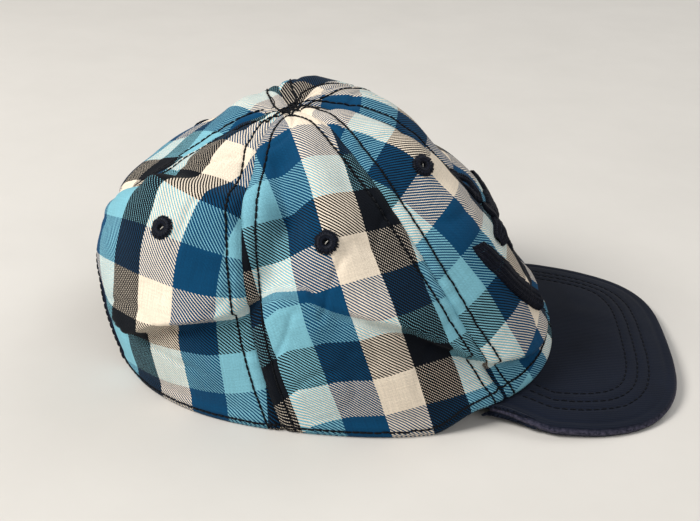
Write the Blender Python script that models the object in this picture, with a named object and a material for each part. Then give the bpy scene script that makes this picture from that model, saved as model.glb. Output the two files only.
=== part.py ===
"""Child's soft six-panel baseball cap: crown, visor, sweatband and a hook-and-loop strap.

Metres, +Z up. The visor points along +X and the wearer's left is +Y. The origin is the
middle of the cap's footprint, on the surface that the hem and the visor rest on.
Every piece of cloth is cut from one dome, crown_point(), at its own depth below the
crown's outer face, so the layers nest with a small air gap between them.
"""

import math

import bmesh
import bpy
from mathutils import Matrix, Vector

# Crown: an oval hem under a dome that leans back
HEM_LENGTH = 0.180
HEM_WIDTH = 0.154
HEM_POWER = 2.4  # 2 is an ellipse, more is squarer
CROWN_HEIGHT = 0.106
CROWN_LEAN = 0.022
DOME_POWER = 2.15
FRONT_SEAM_DEG = (43.5, 58.0)  # side of the front panel, at the hem and at the apex
REAR_SEAM_DEG = (98.0, 118.0)  # side of the rear panel, likewise
SEAM_TURN_POWER = (1, 1, 4, 1)  # how late each turns: front seam, front's side, rear's side, back seam
BACK_TWIST_DEG = 15.0  # how far the slack crown pulls the back seam to the right
APEX_HOLE_R = 0.0012

# Slouch of the soft crown: a place from the hem's middle, how wide, and the cloth's move there
SLOUCH = (
    ((-0.062, -0.008, 0.088), 0.038, (0.002, -0.012, -0.014)),
    ((-0.005, 0.045, 0.098), 0.030, (0.000, 0.000, 0.006)),
)

# Visor: an arched plate of two cloths over a board
VISOR_REACH = 0.049
VISOR_HALF_WIDTH = 0.067
VISOR_CORNER_DEG = 50.0
VISOR_OUTLINE_POWER = 3.3
VISOR_CORNER_DRAW = 0.11  # how much narrower the visor is where it runs in under the hem
VISOR_ARCH = 1.15  # fall per metre of half width squared
VISOR_DIP = 0.07  # fall per metre forward
VISOR_TUCK = 0.0012  # how far the visor reaches in under the hem
VISOR_BOARD_INSET = 0.0022
VISOR_CLOTH = 0.0008
VISOR_BOARD = 0.0018
VISOR_LIP = 0.0014  # width of the turned edge that closes the two cloths

# Layers
GAP = 0.0003  # between pieces that meet edge to edge
PLY_GAP = 0.0006  # between layers that lie on one another
CLOTH = 0.0014
TAPE = 0.0007
BAND = 0.0012
STRAP = 0.0011
PATCH = 0.0010

# Smaller pieces
EYELET_R = 0.0045
EYELET_HOLE_R = 0.0012
TAPE_WIDTH = 0.014
BAND_HEIGHT = 0.028
STRAP_LOW = 0.003
STRAP_HIGH = 0.021
ARCH_HALF_WIDTH = 0.036
ARCH_HEIGHT = 0.045
BINDING_WIDTH = 0.005
BINDING_PROUD = 0.0006
LABEL_DEG = (-141.0, -132.0)
LABEL_HEIGHT = 0.020

# Strap stretches, in degrees round from the middle of the back, positive to the right
STRAP_ANCHOR_DEG = 38.0
STRAP_FREE_DEG = 20.0
TAB_HINGE_DEG = -19.5
TAB_END_DEG = 17.0
HOOK_DEG = (-9.0, 15.0)
LOOP_DEG = (-17.0, 19.0)

# Raised anchor on the front: heights up the seam from the hem, and half widths
MOTIF_LOW = 0.013
MOTIF_HIGH = 0.070
MOTIF_STROKE = 0.0042
MOTIF_THICK = 0.0028
MOTIF_ARM_REACH = 0.037
MOTIF_ARM_RISE = 0.034
MOTIF_STOCK_REACH = 0.025
MOTIF_RING_R = 0.0072
TACK_R = 0.0032

NAVY = (0.012, 0.017, 0.035, 1.0)
BLUE = (0.02, 0.16, 0.32, 1.0)
AQUA = (0.24, 0.52, 0.58, 1.0)
BLACK = (0.01, 0.01, 0.014, 1.0)
CREAM = (0.80, 0.74, 0.62, 1.0)
WHITE = (0.85, 0.84, 0.82, 1.0)


# ---------------------------------------------------------------- shapes of the cap


def smooth_step(low, high, value):
    t = min(max((value - low) / (high - low), 0.0), 1.0)
    return t * t * (3 - 2 * t)


def hem_plan(theta, depth=0.0):
    """Plan of the cloth, depth in from the crown's outer face, as x and y from the hem's middle."""
    cosine, sine = math.cos(theta), math.sin(theta)
    square = (abs(cosine) ** HEM_POWER + abs(sine) ** HEM_POWER) ** (-1 / HEM_POWER)
    return (HEM_LENGTH / 2 - depth) * square * cosine, (HEM_WIDTH / 2 - depth) * square * sine


def visor_fall(x, y):
    """How far the visor's top lies below its highest line, x forward of the hem's middle."""
    return VISOR_ARCH * y * y + VISOR_DIP * (x - HEM_LENGTH / 2)


def visor_outline(turn):
    """Outer edge of the visor, x forward of the hem's middle, at turn -90 to 90 degrees."""
    corner_x = hem_plan(math.radians(VISOR_CORNER_DEG))[0] + 0.002
    tip_x = HEM_LENGTH / 2 + VISOR_REACH
    power = 2 / VISOR_OUTLINE_POWER
    cosine = max(math.cos(math.radians(turn)), 0.0)
    sine = math.sin(math.radians(turn))
    x = corner_x + (tip_x - corner_x) * cosine**power
    width = VISOR_HALF_WIDTH * (1 - VISOR_CORNER_DRAW * (1 - smooth_step(0, 0.026, x - corner_x)))
    return x, math.copysign(width * abs(sine) ** power, sine)


VISOR_THICK = 2 * VISOR_CLOTH + VISOR_BOARD + 2 * GAP
OUTLINE_TURNS = [-90 + 5 * k for k in range(37)]
VISOR_ROOT_Z = VISOR_THICK + max(visor_fall(*visor_outline(turn)) for turn in OUTLINE_TURNS)


def visor_top(x, y):
    """Height of the visor's top face, x forward of the hem's middle."""
    return VISOR_ROOT_Z - visor_fall(x, y)


def hem_height(theta):
    """The hem lies flat at the sides and back, and rides on the visor in front."""
    x, y = hem_plan(theta)
    aside = abs(math.degrees(math.atan2(math.sin(theta), math.cos(theta))))
    lift = 1 - smooth_step(VISOR_CORNER_DEG + 1, VISOR_CORNER_DEG + 14, aside)
    return (visor_top(x, y) + GAP) * lift


def dome_point(theta, rise, depth):
    """Point on the dome before it is centred: rise runs from 0 at the hem to pi/2 at the apex."""
    climb = math.sin(rise) ** (2 / DOME_POWER)
    spread = max(math.cos(rise), 0.0) ** (2 / DOME_POWER)
    lean = CROWN_LEAN * (1 - (1 - climb) ** 2)
    x, y = hem_plan(theta, depth)
    z = hem_height(theta) * (1 - climb) + (CROWN_HEIGHT - depth) * climb
    return slouch(Vector((x * spread - lean, y * spread, z)))


def slouch(point):
    """Moves a point of the even dome to where the slack crown lets it down."""
    loose = smooth_step(0.030, 0.060, point.z)
    moved = point.copy()
    for place, wide, move in SLOUCH:
        far = (point - Vector(place)).length
        moved += Vector(move) * (loose * math.exp(-((far / wide) ** 2)))
    return moved


REAR_REACH = max(-dome_point(math.pi, math.radians(k / 2), 0).x for k in range(180))
CENTRE_X = (REAR_REACH - HEM_LENGTH / 2 - VISOR_REACH) / 2


def crown_point(theta, rise, depth=0.0):
    """Point of the cloth that lies depth below the crown's outer face."""
    return dome_point(theta, rise, depth) + Vector((CENTRE_X, 0, 0))


def rise_at(theta, height):
    """The rise at which the crown is this high above the floor."""
    hem = hem_height(theta)
    climb = min(max((height - hem) / (CROWN_HEIGHT - hem), 0.0), 1.0)
    return math.asin(climb ** (DOME_POWER / 2))


def crown_normal(theta, rise):
    step = 0.002
    along = crown_point(theta + step, rise) - crown_point(theta - step, rise)
    up = crown_point(theta, rise + step) - crown_point(theta, rise - step)
    return along.cross(up).normalized()


def seam_angle(seam, rise):
    """Seams are numbered round the crown: 0 front, 1 and 2 left, 3 rear, 4 and 5 right."""
    share = rise / (math.pi / 2)
    hem_apex = ((0, 0), FRONT_SEAM_DEG, REAR_SEAM_DEG, (180, 180))
    mirrored = (0, 1, 2, 3, 2, 1)[seam % 6]
    low, high = hem_apex[mirrored]
    angle = low + (high - low) * share ** SEAM_TURN_POWER[mirrored]
    if seam % 6 > 3:
        angle = 360 - angle
    if mirrored == 3:
        angle += BACK_TWIST_DEG * math.exp(-(((share - 0.42) / 0.18) ** 2))
    return math.radians(angle + 360 * (seam // 6))


def radius_at(rise):
    """Mean radius of the crown at this rise."""
    return (HEM_LENGTH + HEM_WIDTH) / 4 * max(math.cos(rise), 0.0) ** (2 / DOME_POWER)


APEX_RISE = math.acos((APEX_HOLE_R / radius_at(0)) ** (DOME_POWER / 2))


# ---------------------------------------------------------------- mesh helpers


def material(name, colour, roughness=0.85, metallic=0.0):
    made = bpy.data.materials.get(name) or bpy.data.materials.new(name)
    made.use_nodes = True
    shader = made.node_tree.nodes["Principled BSDF"]
    shader.inputs["Base Color"].default_value = colour
    shader.inputs["Roughness"].default_value = roughness
    shader.inputs["Metallic"].default_value = metallic
    return made


def finish(mesh, name, look):
    """Makes the bmesh an object with its faces pointing out."""
    bmesh.ops.recalc_face_normals(mesh, faces=mesh.faces)
    data = bpy.data.meshes.new(name)
    mesh.to_mesh(data)
    mesh.free()
    data.shade_smooth()
    data.set_sharp_from_angle(angle=math.radians(35))
    piece = bpy.data.objects.new(name, data)
    piece.data.materials.append(look)
    bpy.context.scene.collection.objects.link(piece)
    return piece


def closed_sheet(name, outer, inner, look):
    """A solid between two grids of points that face each other, rows of equal length."""
    mesh = bmesh.new()
    faces = []
    for grid in (outer, inner):
        rows = [[mesh.verts.new(point) for point in row] for row in grid]
        faces.append(rows)
        for low, high in zip(rows, rows[1:]):
            for k in range(len(low) - 1):
                mesh.faces.new((low[k], low[k + 1], high[k + 1], high[k]))
    rims = []
    for rows in faces:
        right = [row[-1] for row in rows[1:-1]]
        left = [row[0] for row in rows[-2:0:-1]]
        rims.append(rows[0] + right + rows[-1][::-1] + left)
    count = len(rims[0])
    for k in range(count):
        after = (k + 1) % count
        mesh.faces.new((rims[0][k], rims[0][after], rims[1][after], rims[1][k]))
    return finish(mesh, name, look)


def dome_piece(name, left, right, rises, depths, columns, look):
    """Cloth between two edge angles, given as functions of rise, at two depths."""
    grids = []
    for depth in depths:
        grid = []
        for rise in rises:
            start, end = left(rise), right(rise)
            turns = [start + (end - start) * k / columns for k in range(columns + 1)]
            grid.append([crown_point(turn, rise, depth) for turn in turns])
        grids.append(grid)
    return closed_sheet(name, grids[0], grids[1], look)


def level_piece(name, start_deg, end_deg, low, high, depths, columns, look, rows=5):
    """Cloth between two angles from the front and two heights above the hem."""
    grids = []
    for depth in depths:
        grid = []
        for row in range(rows + 1):
            line = []
            for k in range(columns + 1):
                theta = math.radians(start_deg + (end_deg - start_deg) * k / columns)
                height = hem_height(theta) + low + (high - low) * row / rows
                line.append(crown_point(theta, rise_at(theta, height), depth))
            grid.append(line)
        grids.append(grid)
    return closed_sheet(name, grids[0], grids[1], look)


def spread_rises(low, high, rows):
    return [low + (high - low) * k / rows for k in range(rows + 1)]


def boolean(piece, cutter, operation="DIFFERENCE"):
    cut = piece.modifiers.new(cutter.name, "BOOLEAN")
    cut.operation = operation
    cut.solver = "EXACT"
    cut.object = cutter


def helper(piece):
    piece.hide_render = True
    piece.display_type = "WIRE"
    return piece


# ---------------------------------------------------------------- crown

# each panel's name, the seam it starts at, its ground colour, and its eyelet's height and share
# of the way across
PANELS = (
    ("front_panel_left", 0, BLUE, 0.0865, 0.62),
    ("side_panel_left", 1, AQUA, 0.070, 0.5),
    ("rear_panel_left", 2, BLUE, 0.072, 0.34),
    ("rear_panel_right", 3, BLUE, 0.072, 0.66),
    ("side_panel_right", 4, AQUA, 0.070, 0.5),
    ("front_panel_right", 5, BLUE, 0.0865, 0.38),
)
SEAM_NAMES = ("front", "left_front", "left_rear", "rear", "right_rear", "right_front")


def seam_edge(seam, shift):
    """Angle of a line that runs beside a seam, shift metres round from it."""

    def angle(rise):
        most = math.radians(26)
        turn = math.copysign(min(abs(shift) / radius_at(rise), most), shift)
        return seam_angle(seam, rise) + turn

    return angle


def panel_spot(seam, height, across):
    """Angle and rise of a place this share across the panel that starts at this seam."""
    rise = rise_at(seam_angle(seam, 0), height)
    start, end = seam_angle(seam, rise), seam_angle(seam + 1, rise)
    return start + (end - start) * across, rise


def facing(theta, rise):
    """Matrix that carries +Z to the crown's outward normal at a point."""
    turn = Vector((0, 0, 1)).rotation_difference(crown_normal(theta, rise))
    return Matrix.Translation(crown_point(theta, rise)) @ turn.to_matrix().to_4x4()


def round_piece(name, profile, place, look, segments=20):
    """A ring or disc turned round its own Z from (radius, z) points that close on themselves."""
    mesh = bmesh.new()
    rings = []
    for k in range(segments):
        turn = 2 * math.pi * k / segments
        spot = [(r * math.cos(turn), r * math.sin(turn), z) for r, z in profile]
        rings.append([mesh.verts.new(place @ Vector(point)) for point in spot])
    for k, ring in enumerate(rings):
        following = rings[(k + 1) % segments]
        for j in range(len(ring)):
            after = (j + 1) % len(ring)
            mesh.faces.new((ring[j], ring[after], following[after], following[j]))
    return finish(mesh, name, look)


def eyelet(name, place):
    """Thread ring overcast round a punched hole."""
    low, high = -CLOTH - 0.0003, 0.0006
    mid = (EYELET_R - GAP + EYELET_HOLE_R) / 2
    profile = (
        (EYELET_HOLE_R, low + 0.0004),
        (EYELET_HOLE_R, high - 0.0004),
        (mid, high),
        (EYELET_R - GAP, high - 0.0004),
        (EYELET_R - GAP, low + 0.0004),
        (mid, low),
    )
    return round_piece(name, profile, place, material("thread_black", BLACK))


def punch(name, place):
    """Cutter for an eyelet's hole."""
    mesh = bmesh.new()
    bmesh.ops.create_cone(
        mesh, cap_ends=True, segments=20, radius1=EYELET_R, radius2=EYELET_R, depth=0.012, matrix=place
    )
    return helper(finish(mesh, name, material("cutter", WHITE)))


def arch_prism(name, half_width, height):
    """Cutter along X with the outline of the rear opening: a half oval on a straight base."""
    below = -0.01
    turns = [math.pi * k / 20 for k in range(21)]
    outline = [(half_width * math.cos(turn), height * math.sin(turn)) for turn in turns]
    outline += [(-half_width, below), (half_width, below)]
    mesh = bmesh.new()
    near, far = CENTRE_X - HEM_LENGTH / 2 - 0.03, CENTRE_X - 0.03
    ends = [[mesh.verts.new((x, y, z)) for y, z in outline] for x in (near, far)]
    for k in range(len(outline)):
        after = (k + 1) % len(outline)
        mesh.faces.new((ends[0][k], ends[0][after], ends[1][after], ends[1][k]))
    mesh.faces.new(ends[0])
    mesh.faces.new(ends[1])
    return helper(finish(mesh, name, material("cutter", WHITE)))


def build_panels(arch):
    rises = spread_rises(0, APEX_RISE, 17)
    for name, seam, colour, height, across in PANELS:
        left, right = seam_edge(seam, GAP / 2), seam_edge(seam + 1, -GAP / 2)
        cloth = material("plaid_" + name, colour)
        panel = dome_piece(name, left, right, rises, (0, CLOTH), 10, cloth)
        place = facing(*panel_spot(seam, height, across))
        boolean(panel, punch("punch_" + name, place))
        if name.startswith("rear"):
            boolean(panel, arch)
        eyelet(name.replace("panel", "eyelet"), place)


def build_tapes(arch):
    depths = (CLOTH + PLY_GAP, CLOTH + PLY_GAP + TAPE)
    for seam, name in enumerate(SEAM_NAMES):
        low = rise_at(seam_angle(seam, 0), hem_height(seam_angle(seam, 0)) + 0.002)
        rises = spread_rises(low, APEX_RISE - 0.04, 17)
        left, right = seam_edge(seam, -TAPE_WIDTH / 2), seam_edge(seam, TAPE_WIDTH / 2)
        tape = dome_piece(name + "_seam_tape", left, right, rises, depths, 2, material("tape", BLACK))
        if name == "rear":
            boolean(tape, arch)


def build_sweatband():
    start = 180 - STRAP_ANCHOR_DEG - 1
    depth = CLOTH + TAPE + 2 * PLY_GAP
    band = material("sweatband", NAVY)
    level_piece("sweatband", -start, start, 0.0005, BAND_HEIGHT, (depth, depth + BAND), 48, band, 4)
    depth += BAND + PLY_GAP
    paper = material("label", WHITE)
    level_piece("care_label", *LABEL_DEG, 0.0, LABEL_HEIGHT, (depth, depth + 0.0006), 4, paper, 3)


# ---------------------------------------------------------------- rear opening and strap


def build_arch_binding():
    tape = material("binding", NAVY)
    depths = (-BINDING_PROUD, CLOTH)
    binding = level_piece("rear_arch_binding", 147, 213, 0.0, 0.052, depths, 24, tape, 10)
    outer = arch_prism("binding_outside", ARCH_HALF_WIDTH - GAP, ARCH_HEIGHT - GAP)
    inner = arch_prism("binding_inside", ARCH_HALF_WIDTH - BINDING_WIDTH, ARCH_HEIGHT - BINDING_WIDTH)
    boolean(binding, outer, "INTERSECT")
    boolean(binding, inner)


def strap_piece(name, start, end, low, high, depth, thickness, look):
    """A stretch of strap between two angles from the middle of the back."""
    span = (180 + start, 180 + end)
    columns = max(4, round(abs(end - start) / 2.5))
    return level_piece(name, *span, low, high, (depth, depth + thickness), columns, look, 3)


def hinge_point(height):
    """Point of the line that the tab peels about, along its outer face."""
    theta = math.radians(180 + TAB_HINGE_DEG)
    return crown_point(theta, rise_at(theta, height), CLOTH + PLY_GAP)


def build_straps():
    cloth = material("strap", NAVY)
    hook, loop = material("hook", BLACK), material("loop", BLACK)
    depth = CLOTH + PLY_GAP
    half_gap = 0.35
    end = TAB_HINGE_DEG - half_gap
    strap_piece("strap_left_root", -STRAP_ANCHOR_DEG, end, STRAP_LOW, STRAP_HIGH, depth, STRAP, cloth)
    start = TAB_HINGE_DEG + half_gap
    tab = strap_piece("strap_tab", start, TAB_END_DEG, STRAP_LOW, STRAP_HIGH, depth, STRAP, cloth)
    margin = 0.0015
    low, high = STRAP_LOW + margin, STRAP_HIGH - margin
    depth += STRAP + GAP
    hooks = strap_piece("hook_patch", *HOOK_DEG, low, high, depth, PATCH, hook)
    depth += PATCH + GAP
    strap_piece("loop_patch", *LOOP_DEG, low, high, depth, PATCH, loop)
    depth += PATCH + GAP
    strap_piece(
        "strap_right", -STRAP_FREE_DEG, STRAP_ANCHOR_DEG, STRAP_LOW, STRAP_HIGH, depth, STRAP, cloth
    )
    foot, head = hinge_point(STRAP_LOW), hinge_point(STRAP_HIGH)
    hinge = bpy.data.objects.new("strap_peel_axis", None)
    turn = Vector((0, 0, 1)).rotation_difference(head - foot)
    hinge.matrix_world = Matrix.Translation((foot + head) / 2) @ turn.to_matrix().to_4x4()
    bpy.context.scene.collection.objects.link(hinge)
    for piece in (tab, hooks):
        piece.parent = hinge
        piece.matrix_parent_inverse = hinge.matrix_world.inverted()


# ---------------------------------------------------------------- visor


def visor_grid(height, inset, rows):
    """Points of a visor layer from the hem out to its edge, drawn in by inset there."""
    grid = []
    shares = [row / (rows - 1) for row in range(rows)]
    lip_share = 1 - VISOR_LIP / VISOR_REACH
    shares = [share * lip_share for share in shares] + [1.0]
    for share in shares:
        line = []
        for turn in OUTLINE_TURNS:
            theta = math.radians(turn / 90 * VISOR_CORNER_DEG)
            inner_x, inner_y = hem_plan(theta, VISOR_TUCK)
            outer_x, outer_y = visor_outline(turn)
            away = Vector((outer_x - inner_x, outer_y - inner_y))
            away *= max(away.length - inset, 0.001) / away.length
            x, y = inner_x + away.x * share, inner_y + away.y * share
            line.append(Vector((x + CENTRE_X, y, height(x, y))))
        grid.append(line)
    return grid


def build_visor():
    rows = 7
    cloth = material("visor_cloth", NAVY)

    def under_by(drop):
        return lambda x, y: visor_top(x, y) - drop

    top = visor_grid(under_by(0), 0, rows)
    beneath = visor_grid(under_by(VISOR_CLOTH), 0, rows)
    lip_drop = VISOR_THICK - VISOR_CLOTH - GAP
    beneath[-1] = visor_grid(under_by(lip_drop), 0, rows)[-1]
    step_row = [point.copy() for point in beneath[-2]]
    for point in step_row:
        point.z -= lip_drop - VISOR_CLOTH
    top.insert(-1, top[-2])
    beneath.insert(-1, step_row)
    lip_top = [point.copy() for point in top[-2]]
    for spot, edge in zip(lip_top, top[-1]):
        spot += (edge - spot) * 0.15
    top[-2] = lip_top
    closed_sheet("visor_top_cloth", top, beneath, cloth)

    depth = VISOR_CLOTH + GAP
    board = material("visor_board", (0.75, 0.75, 0.72, 1), 0.5)
    upper = visor_grid(under_by(depth), VISOR_BOARD_INSET, rows)
    lower = visor_grid(under_by(depth + VISOR_BOARD), VISOR_BOARD_INSET, rows)
    closed_sheet("visor_board", upper, lower, board)

    depth += VISOR_BOARD + GAP
    upper = visor_grid(under_by(depth), 0, rows)
    lower = visor_grid(under_by(depth + VISOR_CLOTH), 0, rows)
    closed_sheet("visor_under_cloth", upper, lower, cloth)


# ---------------------------------------------------------------- raised anchor


def front_point(aside, up, depth):
    """Point on the front of the crown, aside metres left of the seam and up metres above the hem."""
    height = hem_height(0) + up
    rise = rise_at(0, height)
    theta = aside / (HEM_WIDTH / 2 * math.cos(rise) ** (2 / DOME_POWER))
    return crown_point(theta, rise_at(theta, height), depth)


def stroke(name, centre, half_widths):
    """A padded satin stroke along a line of (aside, up) points on the front of the crown."""
    outer, inner = [], []
    for k, spot in enumerate(centre):
        before, after = centre[max(k - 1, 0)], centre[min(k + 1, len(centre) - 1)]
        along = Vector((after[0] - before[0], after[1] - before[1])).normalized()
        across = Vector((-along.y, along.x)) * half_widths[k]
        raised, flat = [], []
        for share, crown in ((-1, 0.25), (-0.6, 0.85), (0, 1.0), (0.6, 0.85), (1, 0.25)):
            aside, up = spot[0] + across.x * share, spot[1] + across.y * share
            raised.append(front_point(aside, up, -GAP - MOTIF_THICK * crown))
            flat.append(front_point(aside, up, -GAP))
        outer.append(raised)
        inner.append(flat)
    return closed_sheet(name, outer, inner, material("thread_navy", NAVY, 0.5))


def tapered(count, width):
    """Half widths along a stroke with rounded ends."""
    return [width * (0.55 + 0.45 * math.sin(math.pi * k / (count - 1)) ** 0.5) for k in range(count)]


def build_motif():
    shank_high = MOTIF_HIGH - 2 * MOTIF_RING_R - 0.0008
    line = [(0, MOTIF_LOW + (shank_high - MOTIF_LOW) * k / 10) for k in range(11)]
    stroke("anchor_shank", line, tapered(11, MOTIF_STROKE))
    clear = MOTIF_STROKE + 0.0005
    for side, word in ((1, "left"), (-1, "right")):
        reach = MOTIF_STOCK_REACH - clear
        line = [(side * (clear + reach * k / 4), shank_high - 0.007) for k in range(5)]
        stroke("anchor_stock_" + word, line, tapered(5, MOTIF_STROKE * 0.8))
        line = []
        for k in range(8):
            turn = math.pi / 2 * k / 7
            aside = clear + (MOTIF_ARM_REACH - clear) * math.sin(turn)
            up = MOTIF_LOW + MOTIF_STROKE + MOTIF_ARM_RISE * (1 - math.cos(turn))
            line.append((side * aside, up))
        stroke("anchor_arm_" + word, line, tapered(8, MOTIF_STROKE))
    build_motif_ring(MOTIF_HIGH - MOTIF_RING_R)


def build_motif_ring(mid_up):
    """The anchor's ring: a padded satin loop."""
    mesh = bmesh.new()
    segments = 16
    section = ((-1, 0), (-0.7, 0.8), (0, 1), (0.7, 0.8), (1, 0))
    loops = []
    for k in range(segments):
        turn = 2 * math.pi * k / segments
        loop = []
        for share, crown in section:
            r = MOTIF_RING_R - 0.0018 + 0.0018 * share
            aside, up = r * math.sin(turn), mid_up + r * math.cos(turn)
            loop.append(mesh.verts.new(front_point(aside, up, -GAP - 0.0002 - MOTIF_THICK * 0.8 * crown)))
        loops.append(loop)
    for k, loop in enumerate(loops):
        following = loops[(k + 1) % segments]
        for j in range(len(section)):
            after = (j + 1) % len(section)
            mesh.faces.new((loop[j], loop[after], following[after], following[j]))
    return finish(mesh, "anchor_ring", material("thread_navy", NAVY, 0.5))


def build_apex_tack():
    """Crossed stitches that hold the panels' points together."""
    around = [crown_point(math.pi * k / 4, APEX_RISE) for k in range(8)]
    apex = sum(around, Vector()) / 8
    normal = (around[2] - around[6]).cross(around[4] - around[0]).normalized()
    turn = Vector((0, 0, 1)).rotation_difference(normal)
    edge, hole = TACK_R, 0.0004
    profile = ((hole, 0.0003), (hole, 0.0010), (edge * 0.6, 0.0009), (edge, 0.0005), (edge, 0.0003))
    place = Matrix.Translation(apex) @ turn.to_matrix().to_4x4()
    round_piece("apex_tack", profile, place, material("thread_black", BLACK), 12)


def main():
    for old in list(bpy.data.objects):
        bpy.data.objects.remove(old)
    arch = arch_prism("rear_arch", ARCH_HALF_WIDTH, ARCH_HEIGHT)
    build_panels(arch)
    build_tapes(arch)
    build_sweatband()
    build_arch_binding()
    build_straps()
    build_visor()
    build_motif()
    build_apex_tack()


main()
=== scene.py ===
"""Looks of the child's plaid baseball cap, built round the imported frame."""
import itertools
import math

import bmesh
import bpy
import numpy as np
from mathutils import Matrix, Vector


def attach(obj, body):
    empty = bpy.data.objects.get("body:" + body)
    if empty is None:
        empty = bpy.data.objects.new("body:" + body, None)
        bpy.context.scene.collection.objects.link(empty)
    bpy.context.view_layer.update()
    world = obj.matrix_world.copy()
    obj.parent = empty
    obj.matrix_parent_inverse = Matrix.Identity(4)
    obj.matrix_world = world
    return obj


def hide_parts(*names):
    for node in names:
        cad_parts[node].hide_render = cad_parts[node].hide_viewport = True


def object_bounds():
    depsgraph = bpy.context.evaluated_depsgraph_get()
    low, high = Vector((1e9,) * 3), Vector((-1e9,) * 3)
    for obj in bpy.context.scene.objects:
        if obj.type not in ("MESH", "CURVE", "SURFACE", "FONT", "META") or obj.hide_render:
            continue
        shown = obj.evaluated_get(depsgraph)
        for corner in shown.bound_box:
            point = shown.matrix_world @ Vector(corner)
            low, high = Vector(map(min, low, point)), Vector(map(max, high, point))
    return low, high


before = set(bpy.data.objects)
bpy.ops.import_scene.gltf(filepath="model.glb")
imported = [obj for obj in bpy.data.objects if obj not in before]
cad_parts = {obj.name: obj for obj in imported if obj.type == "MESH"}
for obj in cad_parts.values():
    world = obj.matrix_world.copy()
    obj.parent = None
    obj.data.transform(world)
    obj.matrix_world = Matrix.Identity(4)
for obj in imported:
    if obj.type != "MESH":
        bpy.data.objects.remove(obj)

CAD_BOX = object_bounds()

# ---------------------------------------------------------------- the crown's dome, as in CAD

HEM_LENGTH = 0.180
HEM_WIDTH = 0.154
HEM_POWER = 2.4
CROWN_HEIGHT = 0.106
CROWN_LEAN = 0.022
DOME_POWER = 2.15
FRONT_SEAM_DEG = (43.5, 58.0)
REAR_SEAM_DEG = (98.0, 118.0)
SEAM_TURN_POWER = (1, 1, 4, 1)
BACK_TWIST_DEG = 15.0
VISOR_REACH = 0.049
VISOR_HALF_WIDTH = 0.067
VISOR_CORNER_DEG = 50.0
VISOR_OUTLINE_POWER = 3.3
VISOR_CORNER_DRAW = 0.11
VISOR_ARCH = 1.15
VISOR_DIP = 0.07
VISOR_TUCK = 0.0012
VISOR_THICK = 0.0040
VISOR_ROOT_Z = 0.00997
CENTRE_X = CAD_BOX[1].x - VISOR_REACH - HEM_LENGTH / 2
MIDDLE = np.array([CENTRE_X, 0, 0])
CLOTH = 0.0011
ARCH_HALF_WIDTH = 0.036
ARCH_HEIGHT = 0.045
EYELET_HOLE_R = 0.0011
EYELET_STITCHES = 50
# Height of each kind of eyelet above the floor, and its share of the way across the panel
EYELETS = {"front": (0.0865, 0.38), "side": (0.070, 0.5), "rear": (0.072, 0.34)}

STITCH_PITCH = 0.0027
STITCH_R = 0.00042
STITCH_RAISE = 0.00020
# Radius of the finer threads
THREAD_R = {
    "satin": 0.00030, "eyelet": 0.00033, "glint_line": 0.00022, "apex": 0.00022, "strap": 0.00024,
    "visor": 0.00026, "hook": 0.00007,
}
STITCH_SHAKE = 0.03
ROW_OFFSET = 0.0050


def smooth_step(low, high, value):
    t = np.clip((value - low) / (high - low), 0, 1)
    return t * t * (3 - 2 * t)


def bell(value, wide):
    """1 where the value is 0, and falls away on both sides over this width."""
    return np.exp(-((value / wide) ** 2))


def hem_plan(theta, depth=0.0):
    """Plan of the cloth, depth in from the outer face, as x and y from the hem's middle."""
    cosine, sine = np.cos(theta), np.sin(theta)
    square = (np.abs(cosine) ** HEM_POWER + np.abs(sine) ** HEM_POWER) ** (-1 / HEM_POWER)
    return (HEM_LENGTH / 2 - depth) * square * cosine, (HEM_WIDTH / 2 - depth) * square * sine


def visor_top(x, y):
    """Height of the visor's top face, x forward of the hem's middle."""
    return VISOR_ROOT_Z - VISOR_ARCH * y * y - VISOR_DIP * (x - HEM_LENGTH / 2)


def aside_deg(theta):
    """Degrees from the front, from -180 to 180, positive to the wearer's left."""
    return np.degrees(np.arctan2(np.sin(theta), np.cos(theta)))


def hem_height(theta):
    x, y = hem_plan(theta)
    lift = 1 - smooth_step(VISOR_CORNER_DEG + 1, VISOR_CORNER_DEG + 14, np.abs(aside_deg(theta)))
    return (visor_top(x, y) + 0.0003) * lift


def even_dome(theta, rise, depth=0.0):
    """The dome as it is sewn, before it slouches."""
    climb = np.sign(rise) * np.abs(np.sin(rise)) ** (2 / DOME_POWER)
    spread = np.maximum(np.cos(rise), 0) ** (2 / DOME_POWER)
    lean = CROWN_LEAN * (1 - (1 - climb) ** 2)
    x, y = hem_plan(theta, depth)
    z = hem_height(theta) * (1 - climb) + (CROWN_HEIGHT - depth) * climb
    return np.stack([CENTRE_X + x * spread - lean, y * spread, z + 0 * x], -1)


# The soft crown's slouch, as in CAD: a place from the hem's middle, how wide, and the move there
SLOUCH = (
    ((-0.062, -0.008, 0.088), 0.038, (0.002, -0.012, -0.014)),
    ((-0.005, 0.045, 0.098), 0.030, (0.000, 0.000, 0.006)),
)


def slouch(point):
    """Moves points of the even dome to where the slack crown lets them down."""
    loose = smooth_step(0.030, 0.060, point[..., 2])
    moved = 0 * point
    for place, wide, move in SLOUCH:
        far = np.linalg.norm(point - (place + MIDDLE), axis=-1)
        moved = moved + (loose * bell(far, wide))[..., None] * np.array(move)
    return point + moved


def dome(theta, rise, depth=0.0):
    return slouch(even_dome(theta, rise, depth))


def unit(vectors):
    return vectors / np.maximum(np.linalg.norm(vectors, axis=-1, keepdims=True), 1e-12)


def slopes(surface, theta, rise, step=0.003):
    """Along and up derivatives of a surface, and its outward normal."""
    along = (surface(theta + step, rise) - surface(theta - step, rise)) / (2 * step)
    up = (surface(theta, rise + step) - surface(theta, rise - step)) / (2 * step)
    return along, up, unit(np.cross(along, up))


def metres_per_turn(theta, rise):
    """How far round the dome a turn of one radian goes."""
    step = 0.003
    return np.linalg.norm(dome(theta + step, rise) - dome(theta - step, rise), axis=-1) / (2 * step)


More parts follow.
